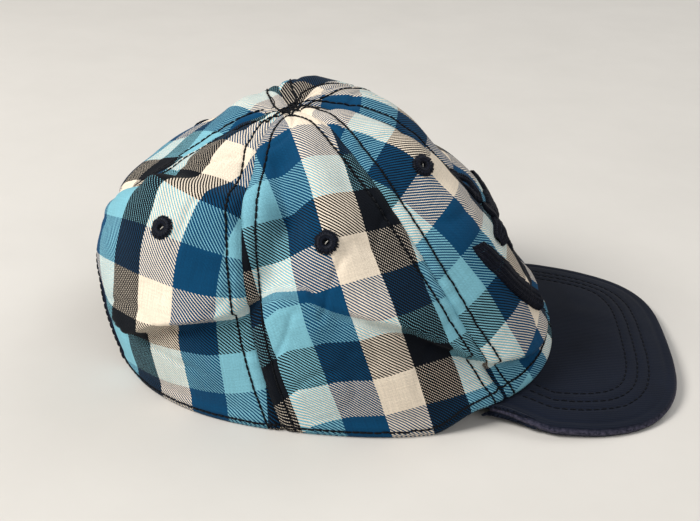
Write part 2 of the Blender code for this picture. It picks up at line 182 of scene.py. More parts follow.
def run_length(points):
    """Distance along a line of points, from 0 at its start."""
    return np.concatenate([[0], np.cumsum(np.linalg.norm(np.diff(points, axis=0), axis=-1))])


def along_line(spots, along, values):
    """Values given at distances along a line, taken at other distances along it."""
    return np.stack([np.interp(spots, along, column) for column in values.T], -1)


def paired(first, second):
    return np.stack(np.broadcast_arrays(first, second), -1)


def rise_at(theta, height):
    """The rise at which the dome is this high above the floor."""
    hem = hem_height(theta)
    climb = np.clip((height - hem) / (CROWN_HEIGHT - hem), 0, 1)
    return np.arcsin(climb ** (DOME_POWER / 2))


def seam_angle(seam, rise):
    """Seams run round the crown: 0 front, 1 and 2 left, 3 rear, 4 and 5 right."""
    share = rise / (math.pi / 2)
    ends = ((0, 0), FRONT_SEAM_DEG, REAR_SEAM_DEG, (180, 180))
    mirrored = (0, 1, 2, 3, 2, 1)[seam % 6]
    low, high = ends[mirrored]
    angle = low + (high - low) * share ** SEAM_TURN_POWER[mirrored]
    if seam % 6 > 3:
        angle = 360 - angle
    if mirrored == 3:
        angle = angle + BACK_TWIST_DEG * bell(share - 0.42, 0.18)
    return np.radians(angle + 360 * (seam // 6))


APEX_RISE = math.acos((0.0006 / (HEM_LENGTH / 2)) ** (DOME_POWER / 2))


def grain(points, size, seed):
    """Smooth value noise from -1 to 1 in cells of this size."""
    table = np.random.default_rng(seed).uniform(-1, 1, (16, 16, 16))
    cell = points / size + 40.37
    base = np.floor(cell).astype(int)
    part = cell - base
    part = part * part * (3 - 2 * part)
    total = 0
    for corner in itertools.product((0, 1), repeat=3):
        weight = np.prod(np.where(corner, part, 1 - part), axis=-1)
        spot = (base + np.array(corner)) % 16
        total = total + weight * table[spot[..., 0], spot[..., 1], spot[..., 2]]
    return total


# ---------------------------------------------------------------- how the soft cloth lies

# Ridges (positive) and hollows (negative) of the slack cloth: the two ends of each from the
# hem's middle, its radius, and how far it stands out
FOLDS = (
    ((-0.060, -0.054, 0.068), (-0.046, -0.062, 0.058), 0.019, 0.0030),
    ((-0.086, -0.029, 0.063), (-0.062, -0.042, 0.079), 0.0065, 0.0034),
    ((-0.062, -0.042, 0.079), (-0.036, -0.053, 0.079), 0.0065, 0.0038),
    ((-0.068, -0.032, 0.080), (-0.036, -0.042, 0.089), 0.0095, -0.0052),
    ((-0.019, -0.040, 0.092), (-0.014, -0.056, 0.076), 0.0060, -0.0050),
    ((-0.014, -0.056, 0.076), (-0.021, -0.066, 0.058), 0.0065, -0.0042),
    ((-0.014, -0.027, 0.099), (0.001, -0.057, 0.074), 0.0100, 0.0022),
    ((-0.024, -0.070, 0.049), (-0.024, -0.070, 0.049), 0.0060, -0.0030),
    ((-0.015, -0.070, 0.047), (-0.003, -0.071, 0.043), 0.0065, 0.0018),
    ((0.001, -0.062, 0.065), (0.028, -0.066, 0.044), 0.0090, 0.0020),
    ((-0.039, 0.018, 0.100), (-0.027, 0.024, 0.102), 0.0120, 0.0034),
    ((0.024, 0.030, 0.092), (0.035, 0.027, 0.085), 0.0120, -0.0050),
    ((0.001, -0.018, 0.101), (0.027, -0.024, 0.090), 0.0090, 0.0022),
    ((0.027, -0.024, 0.090), (0.059, -0.034, 0.054), 0.0100, 0.0020),
    ((-0.005, 0.000, 0.104), (0.045, 0.000, 0.078), 0.0080, -0.0028),
    ((-0.078, 0.014, 0.076), (-0.048, 0.030, 0.088), 0.0170, -0.0056),
    ((0.042, 0.022, 0.078), (0.070, 0.022, 0.045), 0.0190, -0.0042),
    ((0.074, 0.030, 0.036), (0.080, 0.006, 0.035), 0.0150, -0.0062),
    ((-0.065, 0.050, 0.060), (-0.050, 0.062, 0.054), 0.0160, 0.0022),
    ((-0.012, 0.050, 0.084), (-0.020, 0.066, 0.060), 0.0070, -0.0026),
    ((0.002, 0.055, 0.078), (0.026, 0.066, 0.046), 0.0100, 0.0022),
)

# The line where the slack crown slumps over its stiff band: degrees from the front, height,
# how far the cloth stands out above the line, and how far it is drawn in below
SLUMP = np.array((
    (-180, 0.034, 0.0016, 0.0020),
    (-150, 0.031, 0.0028, 0.0030),
    (-132, 0.028, 0.0034, 0.0032),
    (-116, 0.039, 0.0038, 0.0036),
    (-100, 0.046, 0.0028, 0.0030),
    (-90, 0.053, -0.0022, -0.0020),
    (-82, 0.055, -0.0018, -0.0020),
    (-76, 0.050, 0.0, 0.0),
    (-60, 0.040, 0.0034, 0.0034),
    (-50, 0.030, 0.0044, 0.0042),
    (-44, 0.022, 0.0040, 0.0034),
    (-30, 0.019, 0.0030, 0.0026),
    (0, 0.018, 0.0018, 0.0014),
    (30, 0.020, 0.0030, 0.0028),
    (48, 0.026, 0.0040, 0.0036),
    (70, 0.040, 0.0030, 0.0030),
    (95, 0.044, 0.0020, 0.0028),
    (125, 0.036, 0.0040, 0.0034),
    (150, 0.033, 0.0028, 0.0030),
    (180, 0.034, 0.0016, 0.0020),
))

# Cloth hidden in the slump's fold: degrees from the front, and metres
TUCKS = np.array((
    (-180, 0.0), (-150, 0.0010), (-125, 0.0030), (-110, 0.0050), (-98, 0.0095), (-90, 0.0140),
    (-80, 0.0135), (-72, 0.0100), (-62, 0.0085), (-52, 0.0060), (-40, 0.0050), (-20, 0.0030), (0, 0.0020),
    (50, 0.0045), (80, 0.0050), (125, 0.0030), (150, 0.0010), (180, 0.0),
))


def slump_at(theta, point):
    """Height above the slump's line, how far its lip stands out and how far the foot is drawn in."""
    line, lip, drawn = (np.interp(aside_deg(theta), SLUMP[:, 0], SLUMP[:, k]) for k in (1, 2, 3))
    return point[..., 2] - line - 0.0016 * grain(point, 0.016, 3), lip, drawn


def tucked(theta, rise):
    """How much cloth is hidden in the slump above a place."""
    past, _, _ = slump_at(theta, dome(theta, rise))
    return np.interp(aside_deg(theta), TUCKS[:, 0], TUCKS[:, 1]) * (1 - smooth_step(-0.0032, 0.0014, past))


def seam_distance(theta, rise, speed):
    """Distance along the cloth to the nearest seam."""
    least = np.full(np.shape(theta * rise), 1.0)
    for seam in range(6):
        turn = theta - seam_angle(seam, rise)
        turn = np.arctan2(np.sin(turn), np.cos(turn))
        least = np.minimum(least, np.abs(turn) * speed)
    return least


def segment_distance(point, start, end):
    """Distance to the nearest place on the line between two points."""
    start, line = np.array(start), np.array(end) - np.array(start)
    share = np.clip(((point - start) @ line) / max(line @ line, 1e-12), 0, 1)
    return np.linalg.norm(point - start - share[..., None] * line, axis=-1)


def swell(theta, rise):
    """How far the slack cloth stands out from the slouched dome."""
    point = dome(theta, rise)
    place = point - MIDDLE
    gap = seam_distance(theta, rise, metres_per_turn(theta, rise))
    above = point[..., 2] - hem_height(theta)
    loose = smooth_step(0.004, 0.03, above)
    out = (0.0034 * (1 - bell(gap, 0.016)) - 0.0010) * loose

    past, lip, drawn = slump_at(theta, point)
    over = smooth_step(-0.0010, 0.0014, past)
    tie = 1 - 0.35 * bell(gap, 0.006)
    out = out + lip * over * np.exp(-np.maximum(past, 0) / 0.013) * tie
    free = smooth_step(0.001, 0.009, above)
    out = out - drawn * (1 - over) * np.exp(np.minimum(past, 0) / 0.015) * free * tie

    for start, end, wide, far in FOLDS:
        out = out + far * bell(segment_distance(place, start, end), wide)
    away = np.hypot(place[..., 0] + CROWN_LEAN, place[..., 1])
    out = out - 0.0012 * bell(away, 0.010)

    calm = 0.6 * bell(gap, 0.004)
    wrinkle = 0.0009 * grain(point, 0.022, 5) + 0.0005 * grain(point, 0.010, 7)
    crease = np.abs(grain(point + 0.01 * grain(point, 0.03, 9)[..., None], 0.020, 11))
    wrinkle = wrinkle - 0.0007 * bell(crease, 0.10)
    out = out + wrinkle * loose * (1 - calm)
    behind = 180 - np.abs(aside_deg(theta))
    held = (1 - smooth_step(30, 46, behind)) * (1 - smooth_step(0.030, 0.056, above))
    out = out * (1 - held)
    out = out - 0.0010 * bell(gap, 0.0013)
    out = out - 0.0004 * bell(gap - ROW_OFFSET, 0.0008)
    pucker = np.sin(above / 0.0062 * 2 * math.pi + 2 * grain(point, 0.02, 13))
    out = out + 0.00022 * pucker * bell(gap, 0.0055) * loose
    turned_up = (1 - smooth_step(0.0050, 0.0066, above)) * smooth_step(-0.001, 0.0012, above)
    return out + 0.0004 * turned_up


def cloth(theta, rise, depth=0.0):
    """Point of the slouched crown, depth in from its outer face."""
    theta, rise = np.broadcast_arrays(np.asarray(theta, float), np.asarray(rise, float))
    _, _, normal = slopes(dome, theta, np.minimum(rise, APEX_RISE - 0.02))
    return dome(theta, rise) + normal * (swell(theta, rise) - depth)[..., None]


def cloth_normal(theta, rise):
    return slopes(cloth, theta, np.minimum(rise, APEX_RISE - 0.02), 0.004)[2]


# ---------------------------------------------------------------- node materials


def in_scene(name, data):
    made = bpy.data.objects.new(name, data)
    bpy.context.scene.collection.objects.link(made)
    return made


class Nodes:
    """A material's node tree, built from values and sockets."""

    def __init__(self, name):
        self.made = bpy.data.materials.new(name)
        self.made.use_nodes = True
        self.tree = self.made.node_tree
        self.shader = self.tree.nodes["Principled BSDF"]

    def put(self, socket, value):
        if isinstance(value, bpy.types.NodeSocket):
            self.tree.links.new(value, socket)
        elif value is not None:
            socket.default_value = value

    def add(self, kind, *values, out=0, **settings):
        node = self.tree.nodes.new("ShaderNode" + kind)
        for key, value in settings.items():
            setattr(node, key, value)
        for socket, value in zip(node.inputs, values):
            self.put(socket, value)
        return node.outputs[out]

    def math(self, operation, *values, clamp=False):
        return self.add("Math", *values, operation=operation, use_clamp=clamp)

    def noise(self, vector, scale, detail=2.0, roughness=0.5):
        node = self.tree.nodes.new("ShaderNodeTexNoise")
        self.put(node.inputs["Vector"], vector)
        node.inputs["Scale"].default_value = scale
        node.inputs["Detail"].default_value = detail
        node.inputs["Roughness"].default_value = roughness
        return node.outputs["Fac"]

    def range(self, value, low, high, to_low=0.0, to_high=1.0, smooth=False):
        kind = "SMOOTHSTEP" if smooth else "LINEAR"
        return self.add("MapRange", value, low, high, to_low, to_high, interpolation_type=kind)

    def mix(self, factor, one, two):
        node = self.tree.nodes.new("ShaderNodeMix")
        node.data_type = "RGBA"
        self.put(node.inputs["Factor"], factor)
        self.put(node.inputs[6], one)
        self.put(node.inputs[7], two)
        return node.outputs[2]

    def scaled(self, vector, factors):
        return self.add("VectorMath", vector, factors, operation="MULTIPLY")

    def tinted(self, colour, amount):
        made = self.add("VectorMath", colour, operation="SCALE")
        self.put(made.node.inputs["Scale"], amount)
        return made

    def bump(self, height, strength, distance):
        node = self.tree.nodes.new("ShaderNodeBump")
        node.inputs["Strength"].default_value = strength
        node.inputs["Distance"].default_value = distance
        self.put(node.inputs["Height"], height)
        self.put(self.shader.inputs["Normal"], node.outputs[0])

    def surface(self, colour, roughness, sheen=0.0, specular=0.3):
        self.put(self.shader.inputs["Base Color"], colour)
        self.put(self.shader.inputs["Roughness"], roughness)
        self.shader.inputs["Sheen Weight"].default_value = sheen
        self.shader.inputs["Sheen Roughness"].default_value = 0.5
        self.shader.inputs["Specular IOR Level"].default_value = specular
        return self.made


def rgb(red, green, blue):
    """Linear colour from 0 to 255 display values."""
    linear = []
    for value in (red, green, blue):
        share = value / 255
        linear.append(((share + 0.055) / 1.055) ** 2.4 if value > 10 else share / 12.92)
    return (*linear, 1)


WHITE = rgb(236, 222, 202)
AQUA = rgb(122, 181, 197)
PETROL = rgb(4, 64, 101)
BLACK = rgb(7, 12, 20)
CYCLE = {"W": WHITE, "P": PETROL, "A": AQUA, "K": BLACK}
CHECK = 0.0157
TWILL = 0.00096


def stripes(nodes, place, order):
    """Yarn colour across a run of four stripes."""
    share = nodes.math("FRACT", place)
    ramp = nodes.tree.nodes.new("ShaderNodeValToRGB")
    ramp.color_ramp.interpolation = "CONSTANT"
    points = ramp.color_ramp.elements
    points[0].position, points[1].position = 0.0, 0.25
    points.new(0.5)
    points.new(0.75)
    for point, letter in zip(points, order):
        point.color = CYCLE[letter]
    nodes.put(ramp.inputs[0], share)
    return ramp.outputs[0]


def plaid(name, warp_order, warp_at, weft_order, weft_at, turn_deg=0.0):
    """Yarn-dyed twill, laid so that the panel's eyelet falls this many checks into each order."""
    nodes = Nodes(name)
    place = nodes.add("UVMap", uv_map="cloth")
    turned = nodes.add("VectorRotate", place, None, None, None, rotation_type="Z_AXIS")
    nodes.put(turned.node.inputs["Angle"], math.radians(turn_deg))
    warped = nodes.add("TexNoise", turned, None, 60.0, 2.0, out=1)
    centred = nodes.add("VectorMath", warped, (0.5, 0.5, 0.5), operation="SUBTRACT")
    shake = nodes.scaled(centred, (0.0008,) * 3)
    turned = nodes.add("VectorMath", turned, shake, operation="ADD")
    across, down, _ = (nodes.add("SeparateXYZ", turned, out=k) for k in range(3))
    warp_place = nodes.math("MULTIPLY_ADD", across, 0.25 / CHECK, warp_at / 4 + 10)
    weft_place = nodes.math("MULTIPLY_ADD", down, 0.25 / CHECK, weft_at / 4 + 10)
    warp = stripes(nodes, warp_place, warp_order)
    weft = stripes(nodes, weft_place, weft_order)

    diagonal = nodes.math("SUBTRACT", across, down)
    wave = nodes.math("SINE", nodes.math("MULTIPLY", diagonal, 2 * math.pi / (TWILL * math.sqrt(2))))
    step = nodes.math("SINE", nodes.math("MULTIPLY", across, 2 * math.pi / 0.00054))
    wave = nodes.math("MULTIPLY_ADD", step, 0.30, wave)
    for yarn, swell_by in ((warp, 0.75), (weft, -0.30)):
        green = nodes.add("SeparateColor", yarn, out=1)
        wave = nodes.math("ADD", wave, nodes.range(green, 0.0, 0.10, swell_by, 0.0))
    face = nodes.range(wave, -0.32, 0.04, smooth=True)
    colour = nodes.mix(face, weft, warp)

    warp_yarn = nodes.noise(nodes.scaled(turned, (1900, 70, 0)), 1.0, 2.0)
    weft_yarn = nodes.noise(nodes.scaled(turned, (70, 1900, 0)), 1.0, 2.0)
    yarn = nodes.add("Mix", face, None, weft_yarn, warp_yarn)
    tone = nodes.range(yarn, 0.25, 0.75, 0.80, 1.16)
    worn = nodes.range(nodes.noise(turned, 45.0, 3.0), 0.3, 0.7, 0.93, 1.05)
    tone = nodes.math("MULTIPLY", tone, worn)
    colour = nodes.tinted(colour, tone)
    fluff = nodes.noise(nodes.scaled(turned, (5200, 5200, 0)), 1.0, 3.0, 0.7)
    height = nodes.math("MULTIPLY_ADD", face, 0.7, nodes.math("MULTIPLY", fluff, 0.5))
    nodes.bump(height, 0.45, 0.00018)
    return nodes.surface(colour, 0.92, sheen=0.03, specular=0.12)


def twill(name, colour, light, pitch=0.0011, wear_and_highlight=None):
    """Plain dyed twill with fine diagonal ridges."""
    nodes = Nodes(name)
    place = nodes.add("UVMap", uv_map="cloth")
    across, down, _ = (nodes.add("SeparateXYZ", place, out=k) for k in range(3))
    diagonal = nodes.math("SUBTRACT", across, down)
    wave = nodes.math("SINE", nodes.math("MULTIPLY", diagonal, 2 * math.pi / (pitch * math.sqrt(2))))
    ridge = nodes.range(wave, -0.7, 0.7, smooth=True)
    fluff = nodes.noise(nodes.scaled(place, (4200, 4200, 0)), 1.0, 3.0, 0.7)
    patch = nodes.noise(place, 38.0, 4.0, 0.6)
    base = nodes.mix(nodes.range(patch, 0.3, 0.75), colour, light)
    lint = nodes.range(nodes.noise(nodes.scaled(place, (900, 900, 0)), 1.0, 4.0, 0.75), 0.66, 0.80)
    pale = tuple(min(1, c * 6 + 0.05) for c in light[:3]) + (1,)
    base = nodes.mix(nodes.math("MULTIPLY", lint, 0.25), base, pale)
    uneven = nodes.math("MULTIPLY_ADD", fluff, 0.6, nodes.math("MULTIPLY", ridge, 0.5))
    shade = nodes.range(uneven, 0.1, 0.9, 0.72, 1.25)
    tinted = nodes.tinted(base, shade)
    # Where the per-point attribute is set, the cloth turns to the pale edge colour: rubbed wear along the
    # visor's rolled edge, and a painted highlight on that roll
    if wear_and_highlight:
        edge = nodes.add("Attribute", attribute_name="wear_and_highlight", out=2)
        spots = nodes.noise(nodes.scaled(place, (700, 700, 0)), 1.0, 3.0, 0.7)
        amount = nodes.math("MULTIPLY", edge, nodes.range(spots, 0.35, 0.65))
        tinted = nodes.mix(amount, tinted, wear_and_highlight)
    height = nodes.math("MULTIPLY_ADD", ridge, 0.7, nodes.math("MULTIPLY", fluff, 0.6))
    nodes.bump(height, 0.4, 0.00014)
    return nodes.surface(tinted, 0.85, sheen=0.04, specular=0.14)


def thread_look(name, dark, light, roughness=0.55):
    """Twisted thread: fine slanting plies, by distance along and round each thread."""
    nodes = Nodes(name)
    place = nodes.add("UVMap", uv_map="cloth")
    along, about, _ = (nodes.add("SeparateXYZ", place, out=k) for k in range(3))
    twist = nodes.math("MULTIPLY_ADD", along, 1 / 0.0011, nodes.math("MULTIPLY", about, 2.0))
    ply = nodes.math("SINE", nodes.math("MULTIPLY", twist, 2 * math.pi))
    fibre = nodes.noise(nodes.scaled(place, (2600, 9, 0)), 1.0, 3.0, 0.7)
    # The plies are painted lighter and darker along the twist: painted highlight on each ply's round and
    # painted shade between plies; the fibre noise is the thread's own tone
    shade = nodes.range(nodes.math("MULTIPLY_ADD", ply, 0.25, fibre), 0.2, 0.9)
    colour = nodes.mix(shade, dark, light)
    nodes.bump(nodes.math("MULTIPLY_ADD", ply, 0.5, fibre), 0.5, 0.00010)
    return nodes.surface(colour, roughness, sheen=0.02, specular=0.10)


def plain_look(name, dark, light, scale, roughness, bump=0.3, distance=0.0002, sheen=0.0):
    nodes = Nodes(name)
    place = nodes.add("TexCoord", out=3)
    mottle = nodes.noise(place, scale, 4.0, 0.65)
    nodes.bump(mottle, bump, distance)
    return nodes.surface(nodes.mix(nodes.range(mottle, 0.3, 0.7), dark, light), roughness, sheen=sheen)


# ---------------------------------------------------------------- mesh helpers


def new_piece(name, verts, faces, uvs, look, body="crown", slot=None, wear_and_highlight=None):
    """Makes a piece from points, faces and one map coordinate for each point."""
    data = bpy.data.meshes.new(name)
    data.from_pydata([tuple(v) for v in verts], [], [tuple(f) for f in faces])
    layer = data.uv_layers.new(name="cloth")
    corner = np.zeros(len(data.loops), np.int32)
    data.loops.foreach_get("vertex_index", corner)
    layer.data.foreach_set("uv", np.asarray(uvs, np.float32)[corner].ravel())
    # The per-point attribute mixes in the visor's pale edge colour: rubbed wear and painted highlight
    if wear_and_highlight is not None:
        attribute = data.attributes.new("wear_and_highlight", "FLOAT", "POINT")
        attribute.data.foreach_set("value", np.asarray(wear_and_highlight, np.float32))
    data.shade_smooth()
    data.materials.append(look)
    piece = in_scene(name, data)
    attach(piece, body)
    return piece


def grid_faces(rows, columns, start=0, wrap=False, flip=False):
    """Quads of a grid of points, rows by columns, the columns closed on themselves if wrap."""
    made = []
    for r in range(rows - 1):
        for c in range(columns if wrap else columns - 1):
            d = (c + 1) % columns
            quad = (start + r * columns + c, start + r * columns + d,
                    start + (r + 1) * columns + d, start + (r + 1) * columns + c)
            made.append(quad[::-1] if flip else quad)
    return made


def shell(name, outer, inner, rim, uvs, look, **rest):
    """Closed cloth between two grids, with a row of points round the rim between them."""
    rows, columns = outer.shape[:2]
    count = rows * columns
    faces = grid_faces(rows, columns) + grid_faces(rows, columns, count, flip=True)
    loop = list(range(columns))
    loop += [r * columns + columns - 1 for r in range(1, rows)]
    loop += [(rows - 1) * columns + c for c in range(columns - 2, -1, -1)]
    loop += [r * columns for r in range(rows - 2, 0, -1)]
    flat_outer, flat_inner = outer.reshape(-1, 3), inner.reshape(-1, 3)
    middle = rim(flat_outer[loop], flat_inner[loop])
    verts = np.concatenate([flat_outer, flat_inner, middle])
    flat_uvs = uvs.reshape(-1, 2)
    all_uvs = np.concatenate([flat_uvs, flat_uvs, flat_uvs[loop]])
    for k, spot in enumerate(loop):
        after = (k + 1) % len(loop)
        faces.append((loop[after], spot, 2 * count + k, 2 * count + after))
        faces.append((2 * count + after, 2 * count + k, count + spot, count + loop[after]))
    return new_piece(name, verts, faces, all_uvs, look, **rest)


def midway(outer, inner):
    return (outer + inner) / 2


def cloth_map(points):
    """Rough flat place of each point of a grid, in metres across and down from its middle column."""
    rows, columns = points.shape[:2]
    middle = columns // 2
    across = np.zeros((rows, columns))
    across[:, 1:] = np.cumsum(np.linalg.norm(np.diff(points, axis=1), axis=-1), axis=1)
    across -= across[:, middle][:, None]
    down = np.zeros((rows, columns))
    down[1:] -= np.cumsum(np.linalg.norm(np.diff(points[:, middle], axis=0), axis=-1))[:, None]
    return np.stack([across, down], -1)


def relaxed(flat, points, rounds):
    """Eases flat places of a grid until neighbours lie as far apart as they do on the cloth."""
    spans = ((0, 1), (1, 0), (1, 1), (1, -1), (0, 2), (2, 0))
    links = []
    for down, across in spans:
        near = (slice(0, len(points) - down), slice(max(-across, 0), points.shape[1] - max(across, 0)))
        far = (slice(down, None), slice(max(across, 0), points.shape[1] + min(across, 0)))
        links.append((near, far, np.linalg.norm(points[far] - points[near], axis=-1)))
    for _ in range(rounds):
        push = 0 * flat
        for near, far, length in links:
            gap = flat[far] - flat[near]
            now = np.maximum(np.linalg.norm(gap, axis=-1), 1e-9)
            share = gap * (0.11 * (now - length) / now)[..., None]
            push[near] += share
            push[far] -= share
        flat = flat + push
    return flat


def stretched(grid, step):
    """A grid with step times as many points, evenly between those given."""
    for axis in (0, 1):
        count = grid.shape[axis]
        spots = np.arange((count - 1) * step + 1) / step
        low = np.minimum(spots.astype(int), count - 2)
        part = (spots - low)[:, None, None] if axis == 0 else (spots - low)[None, :, None]
        grid = np.take(grid, low, axis) * (1 - part) + np.take(grid, low + 1, axis) * part
    return grid


def laid_flat(points, column, row):
    """The cloth of a panel laid flat, in metres across and down from one of its points."""
    flat = relaxed(cloth_map(points)[::12, ::12], points[::12, ::12], 900)
    flat = stretched(flat, 3)
    flat = stretched(relaxed(flat, points[::4, ::4], 900), 4)
    flat = flat - flat[row, column]
    grain_line = flat[int(row * 0.3), column] - flat[min(int(row * 1.5), len(flat) - 1), column]
    turn = math.atan2(grain_line[0], grain_line[1])
    across = flat[..., 0] * math.cos(turn) - flat[..., 1] * math.sin(turn)
    down = flat[..., 0] * math.sin(turn) + flat[..., 1] * math.cos(turn)
    return np.stack([across, down], -1)


def thread_mesh(name, lines, ups, radius, look, sides=6, ends=0.5, **rest):
    """Threads along lines of equal length, each a tapered tube: arrays of lines, points, xyz."""
    lines, ups = np.asarray(lines, float), np.asarray(ups, float)
    count, points = lines.shape[:2]
    tangent = unit(np.gradient(lines, axis=1))
    side = unit(np.cross(tangent, ups))
    lift = np.cross(side, tangent)
    taper = np.ones(points)
    taper[[0, -1]] = ends
    turn = 2 * math.pi * np.arange(sides) / sides
    radius = np.broadcast_to(np.asarray(radius, float), (count,))
    size = radius[:, None, None, None] * taper[None, :, None, None]
    ring = np.cos(turn)[:, None] * side[:, :, None] + np.sin(turn)[:, None] * lift[:, :, None]
    verts = (lines[:, :, None] + size * ring).reshape(-1, 3)
    along = np.zeros((count, points))
    along[:, 1:] = np.cumsum(np.linalg.norm(np.diff(lines, axis=1), axis=-1), axis=1)
    uvs = paired(along[:, :, None], turn[None, None] / (2 * math.pi)).reshape(-1, 2)
    faces = []
    block = points * sides
    for k in range(count):
        start = k * block
        faces += grid_faces(points, sides, start, wrap=True)
        faces.append(tuple(start + s for s in range(sides))[::-1])
        faces.append(tuple(start + block - sides + s for s in range(sides)))
    return new_piece(name, verts, faces, uvs, look, **rest)


def stitch_lines(path, normals, pitch=STITCH_PITCH, share=1.02, seed=1):
    """Short raised stitches along a path on a surface."""
    path, normals = np.asarray(path), np.asarray(normals)
    along = run_length(path)
    count = max(int(along[-1] / pitch), 1)
    real = along[-1] / count
    chance = np.random.default_rng(seed)
    places = (np.arange(count)[:, None] + 0.5 + share * np.linspace(-0.5, 0.5, 6)[None]) * real
    places = places + chance.normal(0, STITCH_SHAKE * pitch, (count, 1))
    places = np.clip(places, 0, along[-1])
    lines = along_line(places, along, path)
    ups = unit(along_line(places, along, normals))
    arch = np.array([-0.5, 0.7, 1.0, 1.0, 0.7, -0.5]) * STITCH_RAISE
    sway = chance.normal(0, 0.00008, (count, 1, 1)) * unit(np.cross(np.gradient(lines, axis=1), ups))
    return lines + ups * arch[None, :, None] + sway, ups


def stitch_mesh(name, runs, radius, look, **rest):
    """One piece from several runs of stitches."""
    lines, ups = (np.concatenate(part) for part in zip(*runs))
    return thread_mesh(name, lines, ups, radius, look, **rest)


# ---------------------------------------------------------------- looks

# Each thread's lighter colour is partly its own fibre tone and partly a painted highlight on its plies and
# satin ridges
THREAD_BLACK = thread_look("topstitch_thread", rgb(3, 5, 9), rgb(12, 15, 22))
THREAD_SATIN = thread_look("satin_thread", rgb(4, 6, 13), rgb(22, 27, 42), 0.45)
THREAD_NAVY = thread_look("visor_thread", rgb(3, 5, 10), rgb(9, 13, 24))
# Pale thread for the painted glint across each eyelet's hole
THREAD_PALE = thread_look("painted_glint_thread", rgb(176, 172, 164), rgb(214, 210, 200))
# The visor's pale edge colour: rubbed wear and a painted highlight along its rolled edge
VISOR_CLOTH = twill("visor_twill", rgb(8, 15, 29), rgb(12, 20, 36), wear_and_highlight=rgb(92, 88, 108))
BAND_CLOTH = twill("sweatband_twill", rgb(14, 22, 42), rgb(24, 34, 58))
TAPE_CLOTH = twill("seam_tape_twill", rgb(14, 16, 24), rgb(28, 31, 42), 0.0008)
STRAP_CLOTH = twill("strap_twill", rgb(12, 18, 36), rgb(20, 28, 50))

PANELS = (
    ("front", "left", 0, plaid("plaid_front_left", "KAPW", 3.9, "WPAK", 0.0, -10)),
    ("side", "left", 1, plaid("plaid_side_left", "KAPW", 0.6, "WPAK", 1.0)),
    ("rear", "left", 2, plaid("plaid_rear_left", "KWPA", 1.7, "WPAK", 1.75)),
    ("rear", "right", 3, plaid("plaid_rear_right", "KWPA", 1.45, "WKAP", 2.9)),
    ("side", "right", 4, plaid("plaid_side_right", "KAPW", 3.0, "WPAK", 0.0)),
    ("front", "right", 5, plaid("plaid_front_right", "KAPW", 3.0, "WPAK", 0.0, 10)),
)
SEAM_NAMES = ("front", "left_front", "left_rear", "rear", "right_rear", "right_front")


# ---------------------------------------------------------------- crown


def eased(count):
    """Shares from 0 to 1 that lie closer together near both ends."""
    ease = 0.35
    t = np.linspace(0, 1, count)
    return (1 - ease) * t + ease * (0.5 - 0.5 * np.cos(math.pi * t))


def evaluated(piece):
    """Applies the piece's modifiers to its mesh."""
    depsgraph = bpy.context.evaluated_depsgraph_get()
    done = bpy.data.meshes.new_from_object(piece.evaluated_get(depsgraph), depsgraph=depsgraph)
    piece.modifiers.clear()
    old = piece.data
    piece.data = done
    bpy.data.meshes.remove(old)


def cut(piece, cutter):
    tool = piece.modifiers.new("cut", "BOOLEAN")
    tool.operation = "DIFFERENCE"
    tool.solver = "EXACT"
    tool.object = cutter
    evaluated(piece)
    bpy.data.objects.remove(cutter)


def helper_mesh(name, build):
    mesh = bmesh.new()
    build(mesh)
    bmesh.ops.recalc_face_normals(mesh, faces=mesh.faces)
    data = bpy.data.meshes.new(name)
    mesh.to_mesh(data)
    mesh.free()
    made = in_scene(name, data)
    made.hide_render = True
    return made


def arch_cutter():
    def build(mesh):
        turns = np.radians(np.linspace(0, 180, 49))
        outline = [(ARCH_HALF_WIDTH * math.cos(t), ARCH_HEIGHT * math.sin(t)) for t in turns]
        outline += [(-ARCH_HALF_WIDTH, -0.01), (ARCH_HALF_WIDTH, -0.01)]
        near, far = CENTRE_X - HEM_LENGTH / 2 - 0.04, CENTRE_X - 0.03
        ends = [[mesh.verts.new((x, y, z)) for y, z in outline] for x in (near, far)]
        for k in range(len(outline)):
            after = (k + 1) % len(outline)
            mesh.faces.new((ends[0][k], ends[0][after], ends[1][after], ends[1][k]))
        mesh.faces.new(ends[0])
        mesh.faces.new(ends[1])

    return helper_mesh("arch_cutter", build)


def eyelet_place(kind, side, seam):
    """Angle and rise of a panel's eyelet."""
    height, share = EYELETS[kind]
    rise = float(rise_at(seam_angle(seam, 0.0), height))
    start, end = float(seam_angle(seam, rise)), float(seam_angle(seam + 1, rise))
    from_start = share if (side == "left") == (kind != "front") else 1 - share
    return start + (end - start) * from_start, rise


def facing(theta, rise):
    """Matrix that carries +Z to the cloth's outward normal at a point, and +X along it."""
    at = Vector(cloth(theta, rise))
    normal = Vector(cloth_normal(theta, rise))
    along = Vector(cloth(theta + 0.01, rise)) - at
    along = (along - normal * along.dot(normal)).normalized()
    turn = Matrix((along, normal.cross(along), normal)).transposed()
    return Matrix.Translation(at) @ turn.to_4x4()


